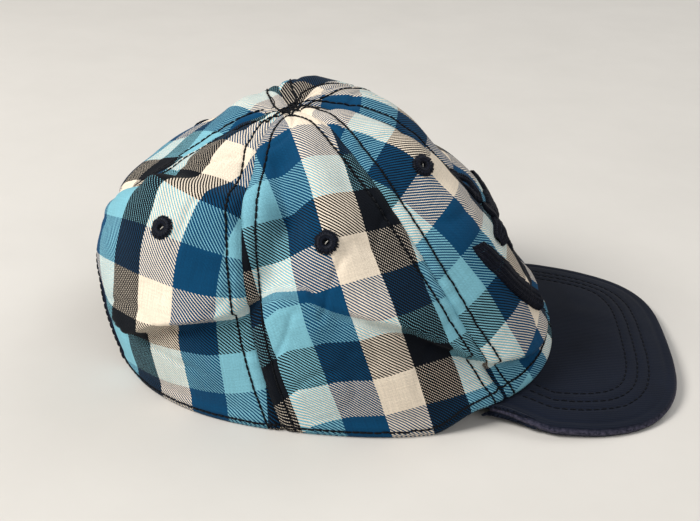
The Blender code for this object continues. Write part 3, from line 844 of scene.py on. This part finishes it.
def make_panel(kind, side, seam, look):
    rows, columns = 169, 97
    rise = np.linspace(0, APEX_RISE, rows)[:, None]
    share = eased(columns)[None, :]
    start, end = seam_angle(seam, rise), seam_angle(seam + 1, rise)
    theta = start + (end - start) * share
    outer = cloth(theta, rise)
    inner = cloth(theta, rise, CLOTH)
    outer[0] += (inner[0] - outer[0]) * 0.25
    inner[0] += (outer[0] - inner[0]) * 0.25
    outer[0, :, 2] += 0.0006
    inner[0, :, 2] += 0.0006

    def rim(first, second):
        middle = (first + second) / 2
        middle[:columns, 2] -= 0.0006
        return middle

    name = f"panel_{kind}_{side}"
    angle, climb = eyelet_place(kind, side, seam)
    row = int(np.argmin(np.abs(rise[:, 0] - climb)))
    column = int(np.argmin(np.abs(theta[row] - angle)))
    flat = laid_flat(outer, column, row)
    flat[..., 1] += tucked(theta, rise)
    piece = shell(name, outer, inner, rim, flat, look, slot=f"plaid_{kind}")
    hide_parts(f"{kind}_panel_{side}")
    place = facing(angle, climb)
    hole = helper_mesh("hole_cutter", lambda mesh: bmesh.ops.create_cone(
        mesh, cap_ends=True, segments=20, radius1=EYELET_HOLE_R, radius2=EYELET_HOLE_R, depth=0.012,
        matrix=place))
    cut(piece, hole)
    if kind == "rear":
        cut(piece, arch_cutter())
    make_eyelet(kind, side, place)


# Across one of an eyelet's stitches: how far out from the hole's middle, and how high
EYELET_PROFILE = (
    (0.0009, -0.0008), (0.0012, 0.0003), (0.0020, 0.0008),
    (0.0030, 0.0008), (0.0039, 0.0003), (0.0043, -0.0004),
)


def make_eyelet(kind, side, place):
    """Overcast ring: radial stitches from the punched hole out over a padded ring."""
    chance = np.random.default_rng(len(kind) * 7 + len(side))
    lines, ups = [], []
    spin = Vector((0, 0, 1))
    for k in range(EYELET_STITCHES):
        turn = 2 * math.pi * (k + chance.uniform(-0.25, 0.25)) / EYELET_STITCHES
        reach = 1 + chance.uniform(-0.05, 0.08)
        slant = chance.uniform(-0.06, 0.06)
        line, up = [], []
        for radius, height in EYELET_PROFILE:
            angle = turn + slant * radius / 0.004
            spot = Vector((radius * reach * math.cos(angle), radius * reach * math.sin(angle), height))
            line.append(place @ spot)
            up.append(place.to_3x3() @ spin)
        lines.append(line)
        ups.append(up)
    piece = thread_mesh(f"eyelet_{kind}_{side}", lines, ups, THREAD_R["eyelet"], THREAD_SATIN,
                        slot="thread_black")
    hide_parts(f"{kind}_eyelet_{side}")
    # A short pale thread across the hole, put there as a painted glint in the slit
    shares = (-1, -0.5, 0, 0.5, 1)
    glint_line = [place @ Vector((0.0010 * t, 0.0012 * t, -0.0002 - 0.0002 * t * t)) for t in shares]
    lean = [place.to_3x3() @ spin] * 5
    thread_mesh(f"eyelet_glint_{kind}_{side}", [glint_line], [lean], THREAD_R["glint_line"], THREAD_PALE)


def row_path(seam, shift):
    """A line shift metres beside a seam, from the hem to just past the apex, with its normals."""
    low = 0.004 if seam != 3 else float(rise_at(math.pi, ARCH_HEIGHT + 0.0015))
    rise = np.linspace(low, math.pi / 2 * 0.93, 260)
    base = seam_angle(seam, rise)
    turn = shift / np.maximum(metres_per_turn(base, rise), 1e-4)
    keep = np.abs(turn) < 0.42
    theta = (base + turn)[keep]
    return cloth(theta, rise[keep]), cloth_normal(theta, rise[keep])


def top_point(x, y):
    """The cloth near the apex by its plan place from the apex."""
    theta = np.arctan2(y / HEM_WIDTH, x / HEM_LENGTH)
    hem_x, hem_y = hem_plan(theta)
    spread = np.clip(np.hypot(x, y) / np.hypot(hem_x, hem_y), 0.002, 1)
    rise = np.arccos(spread ** (DOME_POWER / 2))
    return cloth(theta, rise), cloth_normal(theta, rise)


def make_topstitch():
    """Two rows beside each seam, which cross at the apex where no button covers them."""
    for seam, name in enumerate(SEAM_NAMES):
        runs = []
        for side in (-1, 1):
            path, normals = row_path(seam, side * ROW_OFFSET)
            before, last = path[[-14, -1]] - np.array([CENTRE_X - CROWN_LEAN, 0, 0])
            ahead = unit((last - before)[:2])
            inward = unit(-last[:2])
            ahead = unit(ahead * 0.62 + inward * 0.38)
            reach = np.linspace(0.0006, np.linalg.norm(last[:2]) + 0.0034 + 0.0016 * side, 30)
            spots = last[None, :2] + ahead[None] * reach[:, None]
            over, over_normals = top_point(spots[:, 0], spots[:, 1])
            path, normals = np.concatenate([path, over]), np.concatenate([normals, over_normals])
            normals = np.where(normals[:, 2:] < -0.5, -normals, normals)
            runs.append(stitch_lines(path, normals, seed=seam * 2 + side + 3))
        stitch_mesh(f"topstitch_{name}", runs, STITCH_R, THREAD_BLACK, slot="thread_black")


# Degrees from the front, and height of the hem's row above the edge, which rolls under on the right
HEM_ROW = np.array((
    (-150, 0.0042), (-135, 0.0033), (-110, 0.0029), (-70, 0.0026),
    (-52, 0.0036), (-42, 0.0052), (150, 0.0054),
))


def make_hem_stitch():
    theta = np.radians(np.linspace(-180 + 27, 180 - 27, 900))
    above = np.interp(aside_deg(theta), HEM_ROW[:, 0], HEM_ROW[:, 1])
    rise = rise_at(theta, hem_height(theta) + above)
    lines, ups = stitch_lines(cloth(theta, rise), cloth_normal(theta, rise), seed=40)
    thread_mesh("topstitch_hem", lines, ups, STITCH_R, THREAD_BLACK, slot="thread_black")


def make_apex_tack():
    """Run-over stitches and one loose end where the seams meet."""
    chance = np.random.default_rng(21)
    lines, ups = [], []
    for k in range(4):
        turn = math.pi * k / 4 + chance.uniform(-0.3, 0.3)
        reach = chance.uniform(0.0026, 0.0044)
        offset = chance.uniform(-0.0016, 0.0016, 2)
        spread = np.linspace(-1, 1, 7)
        far = reach * spread
        at, _ = top_point(offset[0] + far * math.cos(turn), offset[1] + far * math.sin(turn))
        lift = (0.0005 - 0.0007 * spread**4)[:, None]
        lines.append(at + np.array([0, 0, 1.0]) * lift)
        ups.append(np.broadcast_to([0, 0, 1.0], (7, 3)))
    tail, _ = top_point(np.array([-0.0085]), np.array([0.002]))
    t = np.linspace(0, 1, 7)
    bend = np.stack([-0.0012 * t + 0.0018 * np.sin(3 * t), 0.0008 * t, 0.0002 + 0.0052 * t], -1)
    lines.append(tail + bend)
    ups.append(np.broadcast_to([1.0, 0, 0], (7, 3)))
    piece = thread_mesh("apex_stitches", lines, ups, THREAD_R["apex"], THREAD_BLACK, slot="thread_black")
    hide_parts("apex_tack")


# Half the seam tapes' width, and where the sweatband ends, in degrees from the front
TAPE_REACH = 0.0065
BAND_END_DEG = 180 - 39


def make_tapes():
    for seam, name in enumerate(SEAM_NAMES):
        low = float(rise_at(seam_angle(seam, 0.0), hem_height(seam_angle(seam, 0.0)) + 0.003))
        if name == "rear":
            low = float(rise_at(math.pi, ARCH_HEIGHT + 0.002))
        rise = np.linspace(low, math.pi / 2 * 0.965, 110)[:, None]
        base = seam_angle(seam, rise)
        across = np.linspace(-TAPE_REACH, TAPE_REACH, 9)[None]
        most = 0.5 * np.abs(across) / TAPE_REACH
        turn = np.clip(across / metres_per_turn(base, rise), -most, most)
        outer = cloth(base + turn, rise, CLOTH + 0.0003)
        inner = cloth(base + turn, rise, CLOTH + 0.0008)
        flat = cloth_map(outer)
        piece = shell(f"tape_{name}", outer, inner, midway, flat, TAPE_CLOTH, slot="seam_tape")
        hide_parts(f"{name}_seam_tape")


def level_grid(start_deg, end_deg, low, high, depth, columns, rows):
    """Cloth between two angles and two heights above the hem, drawn in wherever the crown is."""
    theta = np.radians(np.linspace(start_deg, end_deg, columns))[None, :]
    share = np.linspace(0, 1, rows)[:, None]
    rise = rise_at(theta, hem_height(theta) + low + (high - low) * share)
    theta = theta + 0 * rise
    normal = slopes(dome, theta, rise)[2]
    drawn = np.minimum(swell(theta, rise) + 0.0012, 0)
    return dome(theta, rise, depth) + normal * drawn[..., None]


def band_grids(start_deg, end_deg, heights, depths, columns, rows):
    """Outer and inner face of a band of cloth that follows the inside of the hem."""
    return [level_grid(start_deg, end_deg, *heights, depth, columns, rows) for depth in depths]


def away_from_middle(points):
    """Level directions away from the middle of the hem."""
    return unit((points - MIDDLE) * [1, 1, 0])


def make_sweatband():
    columns, rows = 260, 22
    outer, inner = band_grids(-BAND_END_DEG, BAND_END_DEG, (0.0006, 0.0280), (0.0034, 0.0046), columns, rows)
    out = away_from_middle(inner)
    wave = 0.0005 * grain(inner, 0.014, 31) + 0.00025 * grain(inner, 0.006, 32)
    inner = inner - out * (np.maximum(wave, -0.0002) + 0.0002)[..., None]
    flat = cloth_map(outer)
    piece = shell("sweatband_twill", outer, inner, midway, flat, BAND_CLOTH, slot="sweatband_twill")
    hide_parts("sweatband")
    runs = []
    for row, seed in ((2, 51), (rows - 3, 52)):
        runs.append(stitch_lines(inner[row], -out[row], pitch=0.0032, seed=seed))
    stitch_mesh("sweatband_stitch", runs, STITCH_R, THREAD_NAVY, slot="thread_navy")


def make_label():
    look = plain_look("label_satin_look", rgb(214, 212, 206), rgb(238, 236, 230), 900, 0.5, sheen=0.2)
    outer, inner = band_grids(-BAND_END_DEG, -132, (0.0002, 0.020), (0.0052, 0.0056), 12, 24)
    out = away_from_middle(inner)
    curl = 0.0030 * (np.linspace(0, 1, 24)[:, None] ** 2)
    outer, inner = outer - out * curl[..., None], inner - out * curl[..., None]
    piece = shell("label_satin", outer, inner, midway, cloth_map(outer), look, slot="label_satin")
    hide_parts("care_label")


# ---------------------------------------------------------------- rear opening


def arch_path(half_width, height, count):
    """Angles and rises along the arch's outline on the dome, from the right side over to the left."""
    turn = np.linspace(0, math.pi, count)
    y, z = -half_width * np.cos(turn), height * np.sin(turn)
    rise = rise_at(np.full(count, math.pi), z)
    low, high = np.radians(np.full(count, 120.0)), np.radians(np.full(count, 240.0))
    for _ in range(40):
        middle = (low + high) / 2
        left = dome(middle, rise)[:, 1] > y
        low, high = np.where(left, middle, low), np.where(left, high, middle)
    return middle, rise


def make_binding():
    """Folded tape round the arch's edge, outside and inside."""
    count = 150
    theta, rise = arch_path(ARCH_HALF_WIDTH, ARCH_HEIGHT, count)
    edge, normal = cloth(theta, rise), cloth_normal(theta, rise)
    ahead = unit(np.gradient(edge, axis=0))
    outward = np.cross(normal, ahead)
    middle = edge.mean(0)
    outward = outward * np.sign(((edge - middle) * outward).sum(-1).mean())
    profile = []
    for t in np.linspace(0, 1, 9):
        profile.append((0.0055 - 0.0065 * t, 0.0005 + 0.0002 * math.sin(math.pi * t)))
    for t in np.linspace(0.1, 0.9, 5):
        profile.append((-0.0010 - 0.0008 * math.sin(math.pi * t), 0.0005 - (CLOTH + 0.0012) * t))
    for t in np.linspace(0, 1, 9):
        profile.append((-0.0010 + 0.0065 * t, -CLOTH - 0.0007 - 0.0001 * math.sin(math.pi * t)))
    rows = []
    for w, n in profile:
        rows.append(edge + outward * w + normal * n)
    rows = np.stack(rows, 1)
    rows[..., 2] = np.maximum(rows[..., 2], 0.0004)
    uvs = paired(run_length(edge)[:, None], run_length(profile)[None]).reshape(-1, 2)
    size = len(profile)
    faces = grid_faces(count, size, wrap=True)
    faces.append(tuple(range(size))[::-1])
    faces.append(tuple((count - 1) * size + k for k in range(size)))
    piece = new_piece("arch_binding", rows.reshape(-1, 3), faces, uvs, STRAP_CLOTH, slot="binding_twill")
    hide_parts("rear_arch_binding")
    row = edge + outward * 0.0040 + normal * 0.0006
    lines, ups = stitch_lines(row[2:-2], normal[2:-2], seed=61)
    thread_mesh("topstitch_arch", lines, ups, STITCH_R, THREAD_BLACK, slot="thread_black")


def strap(name, node, start, end, low, high, depth, thick, look=STRAP_CLOTH, slot="strap_twill",
          body="crown", stitched=True):
    """A stretch of strap with softened edges, by degrees from the middle of the back."""
    columns, rows = max(int(abs(end - start) / 0.6), 12), 16
    depths = (depth, depth + thick)
    outer, inner = band_grids(180 + start, 180 + end, (low, high), depths, columns, rows)
    edge = np.minimum(np.linspace(0, 1, rows), np.linspace(1, 0, rows))[:, None]
    soft = bell(edge * (high - low), 0.0007)
    drawn = (inner - outer) * 0.3 * soft[..., None]
    outer, inner = outer + drawn, inner - drawn
    piece = shell(name, outer, inner, midway, cloth_map(outer), look, body=body, slot=slot)
    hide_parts(node)
    if stitched:
        normal = unit(outer - inner)
        runs = []
        for row in (2, rows - 3):
            runs.append(stitch_lines(outer[row, 1:-1], normal[row, 1:-1], seed=70 + row))
        stitch_mesh(name + "_stitch", runs, THREAD_R["strap"], THREAD_NAVY, body=body, slot="thread_navy")
    return outer, inner


def make_straps():
    low, high, thick, patch = 0.003, 0.021, 0.0011, 0.0010
    depth = 0.0020
    hook = plain_look("hook_nylon", rgb(10, 11, 14), rgb(40, 42, 48), 2600, 0.45, 0.8, 0.0005)
    loop = plain_look("loop_nylon", rgb(12, 13, 18), rgb(44, 46, 54), 1700, 0.9, 0.9, 0.0006, 0.4)
    strap("strap_root_left", "strap_left_root", -38.0, -19.85, low, high, depth, thick)
    strap("strap_tab_cloth", "strap_tab", -19.15, 17.0, low, high, depth, thick, body="strap")
    depth += thick + 0.0003
    patch_low, patch_high = low + 0.0015, high - 0.0015
    _, face = strap("hook_tape", "hook_patch", -9.0, 15.0, patch_low, patch_high, depth, 0.0005, hook,
                    "hook_tape", body="strap", stitched=False)
    make_hooks(face, hook)
    depth += patch + 0.0003
    strap("loop_tape", "loop_patch", -17.0, 19.0, patch_low, patch_high, depth + 0.0003, patch - 0.0003, loop,
          "loop_tape", stitched=False)
    depth += patch + 0.0003
    strap("strap_under_right", "strap_right", -20.0, 38.0, low, high, depth, thick)


def make_hooks(face, look):
    """Rows of tiny hooks on the inner face of the hook tape."""
    rows, columns = face.shape[:2]
    lines, ups = [], []
    for r in range(1, rows - 1):
        for k in np.linspace(1, columns - 2, 34):
            c = int(k)
            at = face[r, c] + (face[r, c + 1] - face[r, c]) * (k - c)
            along = unit(face[r, c + 1] - face[r, c])
            up = unit(face[r + 1, c] - face[r - 1, c])
            inward = unit(np.cross(up, along))
            inward = inward * np.sign(((np.array([CENTRE_X, 0, at[2]]) - at) * inward).sum())
            t = np.linspace(0, 1, 5)[:, None]
            lines.append(at + inward * (0.0005 * np.sin(math.pi * 0.62 * t)) + along * (0.0004 * t * t))
            ups.append(np.broadcast_to(up, (5, 3)))
    thread_mesh("hook_tape_hooks", lines, ups, THREAD_R["hook"], look, sides=4, body="strap",
                slot="hook_tape")


# ---------------------------------------------------------------- visor

# Thickness of the visor's top cloth and of its underside
VISOR_SHEET = 0.0006
# How far in from the visor's edge its rows of stitching run
VISOR_ROWS = (0.0105, 0.0150, 0.0195)


def visor_outline(turn):
    """Outer edge of the visor, x forward of the hem's middle, at turn -90 to 90 degrees."""
    corner_x = hem_plan(np.radians(VISOR_CORNER_DEG))[0] + 0.002
    tip_x = HEM_LENGTH / 2 + VISOR_REACH
    power = 2 / VISOR_OUTLINE_POWER
    cosine = np.maximum(np.cos(np.radians(turn)), 0.0)
    sine = np.sin(np.radians(turn))
    x = corner_x + (tip_x - corner_x) * cosine**power
    width = VISOR_HALF_WIDTH * (1 - VISOR_CORNER_DRAW * (1 - smooth_step(0, 0.026, x - corner_x)))
    return x, width * np.sign(sine) * np.abs(sine) ** power


def visor_plan(turns, inset):
    """Points of the visor's outline drawn in by inset, and its inward direction."""
    x, y = visor_outline(turns)
    line = np.stack([x, y], -1)
    along = unit(np.gradient(line, axis=0))
    inward = np.stack([-along[:, 1], along[:, 0]], -1)
    centre = np.array([HEM_LENGTH / 2 - 0.01, 0])
    inward = inward * np.sign(((centre - line) * inward).sum(-1))[:, None]
    return line + inward * np.asarray(inset)[..., None], inward


def even_turns(count):
    """Turns that lie evenly along the visor's outline."""
    fine = np.linspace(-90, 90, 4001)
    along = run_length(np.stack(visor_outline(fine), -1))
    return np.interp(np.linspace(0, along[-1], count), along, fine)


def visor_point(x, y, z):
    return np.stack([x + CENTRE_X, y, z], -1)


def visor_height(x, y, inset):
    """Top face, a little padded between its rows of stitching."""
    z = visor_top(x, y)
    point = np.stack([x, y, 0 * x], -1)
    pad = 0.00035 * grain(point, 0.03, 81) + 0.00012 * grain(point, 0.009, 82)
    for row in VISOR_ROWS:
        pad = pad - 0.00035 * bell(inset - row, 0.0009)
    pad = pad - 0.0003 * bell(inset - 0.0034, 0.0010)
    return z + pad - 0.0003


def visor_grid(columns, rows):
    """Grid over the visor from its edge in to the hem: plan points, and how far in each is."""
    turns = even_turns(columns)
    edge, _ = visor_plan(turns, np.zeros(columns))
    theta = np.radians(turns / 90 * VISOR_CORNER_DEG)
    inner = np.stack(hem_plan(theta, VISOR_TUCK), -1)
    share = np.linspace(0, 1, rows)[:, None] ** 1.15
    grid = edge[None] + (inner - edge)[None] * share[..., None]
    dense, _ = visor_plan(even_turns(900), np.zeros(900))
    flat = grid.reshape(-1, 2)
    inset = np.min(np.linalg.norm(flat[:, None] - dense[None, ::3], axis=-1), axis=1)
    return grid, inset.reshape(grid.shape[:2])


def thicken(piece):
    solid = piece.modifiers.new("cloth", "SOLIDIFY")
    solid.thickness = VISOR_SHEET
    solid.offset = -1
    evaluated(piece)


def make_visor():
    columns, rows = 181, 70
    grid, inset = visor_grid(columns, rows)
    x, y = grid[..., 0], grid[..., 1]
    z = visor_height(x, y, inset)
    top = visor_point(x, y, z)
    edge, inward = visor_plan(even_turns(columns), np.zeros(columns))
    thick = VISOR_THICK - VISOR_SHEET
    lip = []
    for t in np.linspace(0.05, 1, 12):
        turn = math.pi * t
        out = 0.0004 - 0.0008 * (1 - math.sin(turn)) + 0.0003 * bell(t - 0.5, 0.12)
        drop = thick * (0.5 - 0.5 * math.cos(turn))
        ring = edge - inward * out
        lip.append(visor_point(*ring.T, z[0] - drop))
    sheet = np.concatenate([np.array(lip[::-1]), top[1:]])
    under = visor_point(x, y, z - thick)
    under[..., 2] += 0.00025 * grain(under, 0.012, 83)
    low = min(sheet[..., 2].min(), under[..., 2].min())
    lift = max(0.0, 0.0002 - low)
    sheet[..., 2] += lift
    under[..., 2] += lift
    uvs = sheet[..., :2].copy()
    for k in range(len(lip)):
        uvs[k] = uvs[len(lip)] + (inward * -0.0004 * (len(lip) - k))
    # Pale band round the middle of the rolled edge, where the cloth rubs and where a highlight is painted,
    # fading onto the top face
    wear_and_highlight = np.zeros(sheet.shape[:2])
    for k in range(len(lip)):
        wear_and_highlight[k] = 0.75 * bell(k - len(lip) * 0.45, 3.2)
    wear_and_highlight[len(lip)] = 0.1
    rotated = np.stack([uvs[..., 0] * 0.8 - uvs[..., 1] * 0.6, uvs[..., 0] * 0.6 + uvs[..., 1] * 0.8], -1)
    faces = grid_faces(*sheet.shape[:2])
    piece = new_piece("visor_top", sheet.reshape(-1, 3), faces, rotated.reshape(-1, 2), VISOR_CLOTH,
                      slot="visor_twill", wear_and_highlight=wear_and_highlight.ravel())
    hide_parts("visor_top_cloth", "visor_board")
    thicken(piece)
    under_faces = grid_faces(*under.shape[:2], flip=True)
    points = under.reshape(-1, 3)
    piece = new_piece("visor_under", points, under_faces, points[:, :2], VISOR_CLOTH,
                      slot="visor_twill", wear_and_highlight=np.zeros(len(points)))
    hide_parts("visor_under_cloth")
    thicken(piece)
    make_visor_stitch(lift)


def make_visor_stitch(lift):
    runs = []
    for k, inset in enumerate(VISOR_ROWS):
        turns = even_turns(600)
        line, _ = visor_plan(turns, np.full(600, inset))
        theta = np.arctan2(line[:, 1] / HEM_WIDTH, line[:, 0] / HEM_LENGTH)
        hem_x, hem_y = hem_plan(theta)
        keep = np.hypot(*line.T) > np.hypot(hem_x, hem_y) + 0.001
        line = line[keep]
        z = visor_height(line[:, 0], line[:, 1], np.full(len(line), inset)) + lift
        path = visor_point(*line.T, z)
        normals = unit(np.stack([0 * z + VISOR_DIP, 2 * VISOR_ARCH * line[:, 1], 0 * z + 1], -1))
        runs.append(stitch_lines(path, normals, 0.0031, 0.82, seed=90 + k))
    stitch_mesh("topstitch_visor", runs, THREAD_R["visor"], THREAD_NAVY, slot="thread_navy")


# ---------------------------------------------------------------- raised anchor

MOTIF_LOW = 0.013
MOTIF_HIGH = 0.070
MOTIF_STROKE = 0.0042
MOTIF_THICK = 0.0026
MOTIF_ARM_REACH = 0.037
MOTIF_ARM_RISE = 0.034
MOTIF_STOCK_REACH = 0.025
MOTIF_RING_R = 0.0072
SATIN_PITCH = 0.00042


def front_place(aside, up):
    """Angle and rise of a place on the front, aside metres left of the seam and up from the hem."""
    height = hem_height(0.0) + up
    rise = rise_at(0.0, height)
    theta = aside / (HEM_WIDTH / 2 * np.cos(rise) ** (2 / DOME_POWER))
    return theta, rise_at(theta, height)


def satin(name, node, centre, widths):
    """Padded satin stitch: threads laid side by side over a stroke's raised core."""
    centre, widths = np.array(centre, float), np.array(widths, float)
    along = run_length(centre)
    count = int(along[-1] / SATIN_PITCH)
    spots = np.linspace(0, along[-1], count)
    line = along_line(spots, along, centre)
    half = np.interp(spots, along, widths)
    forward = unit(np.gradient(line, axis=0))
    across = np.stack([-forward[:, 1], forward[:, 0]], -1)
    chance = np.random.default_rng(len(node))
    share = np.linspace(-1, 1, 21)
    half = half * (1 + chance.uniform(-0.03, 0.05, count))
    slant = 0.12
    aslant = across[:, None] + slant * forward[:, None]
    place = line[:, None] + aslant * (half[:, None] * share[None])[..., None]
    theta, rise = front_place(place[..., 0], place[..., 1])
    crown = np.sqrt(np.maximum(1 - np.abs(share) ** 2.6, 0))
    puff = MOTIF_THICK * crown * (half / MOTIF_STROKE)[:, None] ** 0.5
    puff = puff - 0.00045 * np.cos(2 * math.pi * share) ** 6
    puff = puff + chance.uniform(-0.00008, 0.00008, (count, 1)) - 0.0001
    base, normal = cloth(theta, rise), cloth_normal(theta, rise)
    lines = base + normal * puff[..., None]
    piece = thread_mesh(name, lines, normal, THREAD_R["satin"], THREAD_SATIN, sides=5, ends=0.8,
                        slot="thread_navy")
    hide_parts(node)


def tapered(count, width):
    return [width * (0.55 + 0.45 * math.sin(math.pi * k / (count - 1)) ** 0.5) for k in range(count)]


def make_motif():
    high = MOTIF_HIGH - 2 * MOTIF_RING_R - 0.0008
    line = [(0, MOTIF_LOW + (high - MOTIF_LOW) * k / 20) for k in range(21)]
    satin("anchor_satin_shank", "anchor_shank", line, tapered(21, MOTIF_STROKE))
    clear = MOTIF_STROKE + 0.0001
    for side, word in ((1, "left"), (-1, "right")):
        reach = MOTIF_STOCK_REACH - clear
        line = [(side * (clear + reach * k / 8), high - 0.007) for k in range(9)]
        satin("anchor_satin_stock_" + word, "anchor_stock_" + word, line, tapered(9, MOTIF_STROKE * 0.8))
        line = []
        for turn in np.linspace(0, math.pi / 2, 24):
            aside = clear + (MOTIF_ARM_REACH - clear) * math.sin(turn)
            line.append((side * aside, MOTIF_LOW + MOTIF_STROKE + MOTIF_ARM_RISE * (1 - math.cos(turn))))
        satin("anchor_satin_arm_" + word, "anchor_arm_" + word, line, tapered(24, MOTIF_STROKE))
    middle, radius = MOTIF_HIGH - MOTIF_RING_R, MOTIF_RING_R - 0.0018
    line = []
    for turn in np.linspace(0, 2 * math.pi, 41):
        line.append((radius * math.sin(turn), middle + radius * math.cos(turn)))
    satin("anchor_satin_ring", "anchor_ring", line, [0.0019] * 41)


# ---------------------------------------------------------------- studio


def make_stage():
    floor_look = plain_look("floor_look", rgb(208, 205, 200), rgb(212, 209, 204), 14, 0.95, 0.02, 0.001)
    mesh = bmesh.new()
    bmesh.ops.create_grid(mesh, x_segments=2, y_segments=2, size=15.0)
    data = bpy.data.meshes.new("floor")
    mesh.to_mesh(data)
    mesh.free()
    data.materials.append(floor_look)
    in_scene("floor", data)
    lights = (
        ("key", (-1.2, -0.55, 1.25), 0.7, 34.0, (1.0, 0.97, 0.93)),
        ("fill", (0.9, -1.6, 1.3), 1.4, 12.0, (0.97, 0.98, 1.0)),
        ("back", (0.9, 0.9, 1.3), 1.2, 10.0, (1.0, 1.0, 1.0)),
    )
    for name, place, size, power, colour in lights:
        lamp = bpy.data.lights.new(name, "AREA")
        lamp.size, lamp.energy, lamp.color = size, power, colour
        made = in_scene(name, lamp)
        made.location = place
        made.rotation_euler = (Vector((0, 0, 0.04)) - Vector(place)).to_track_quat("-Z", "Y").to_euler()
    world = bpy.data.worlds.new("studio")
    world.use_nodes = True
    world.node_tree.nodes["Background"].inputs[0].default_value = rgb(232, 231, 228)
    world.node_tree.nodes["Background"].inputs[1].default_value = 0.32
    bpy.context.scene.world = world
    bpy.context.scene.view_settings.view_transform = "Standard"


CAMERA_DISTANCE = 0.42
CAMERA_AZIMUTH = math.radians(5.0)
CAMERA_ELEVATION = math.radians(27.0)
CAMERA_ROLL = math.radians(1.75)
CAMERA_AIM = (0.0034, 0.0335)
CAMERA_LENS = 51.2


def make_camera():
    lens = bpy.data.cameras.new("camera")
    lens.lens = CAMERA_LENS
    lens.clip_start = 0.01
    camera = in_scene("camera", lens)
    a, e = CAMERA_AZIMUTH, CAMERA_ELEVATION
    back = Vector((math.sin(a) * math.cos(e), -math.cos(a) * math.cos(e), math.sin(e)))
    aim = Vector((CENTRE_X + CAMERA_AIM[0] * math.cos(a), CAMERA_AIM[0] * math.sin(a), CAMERA_AIM[1]))
    right = Vector((math.cos(a), math.sin(a), 0))
    up = back.cross(right)
    turned_right = right * math.cos(CAMERA_ROLL) + up * math.sin(CAMERA_ROLL)
    turned_up = up * math.cos(CAMERA_ROLL) - right * math.sin(CAMERA_ROLL)
    turn = Matrix((turned_right, turned_up, back)).transposed()
    camera.matrix_world = Matrix.Translation(aim + back * CAMERA_DISTANCE) @ turn.to_4x4()
    bpy.context.scene.camera = camera


make_camera()
make_stage()
for row in PANELS:
    make_panel(*row)
make_topstitch()
make_hem_stitch()
make_apex_tack()
make_tapes()
make_sweatband()
make_label()
make_binding()
make_straps()
make_visor()
make_motif()
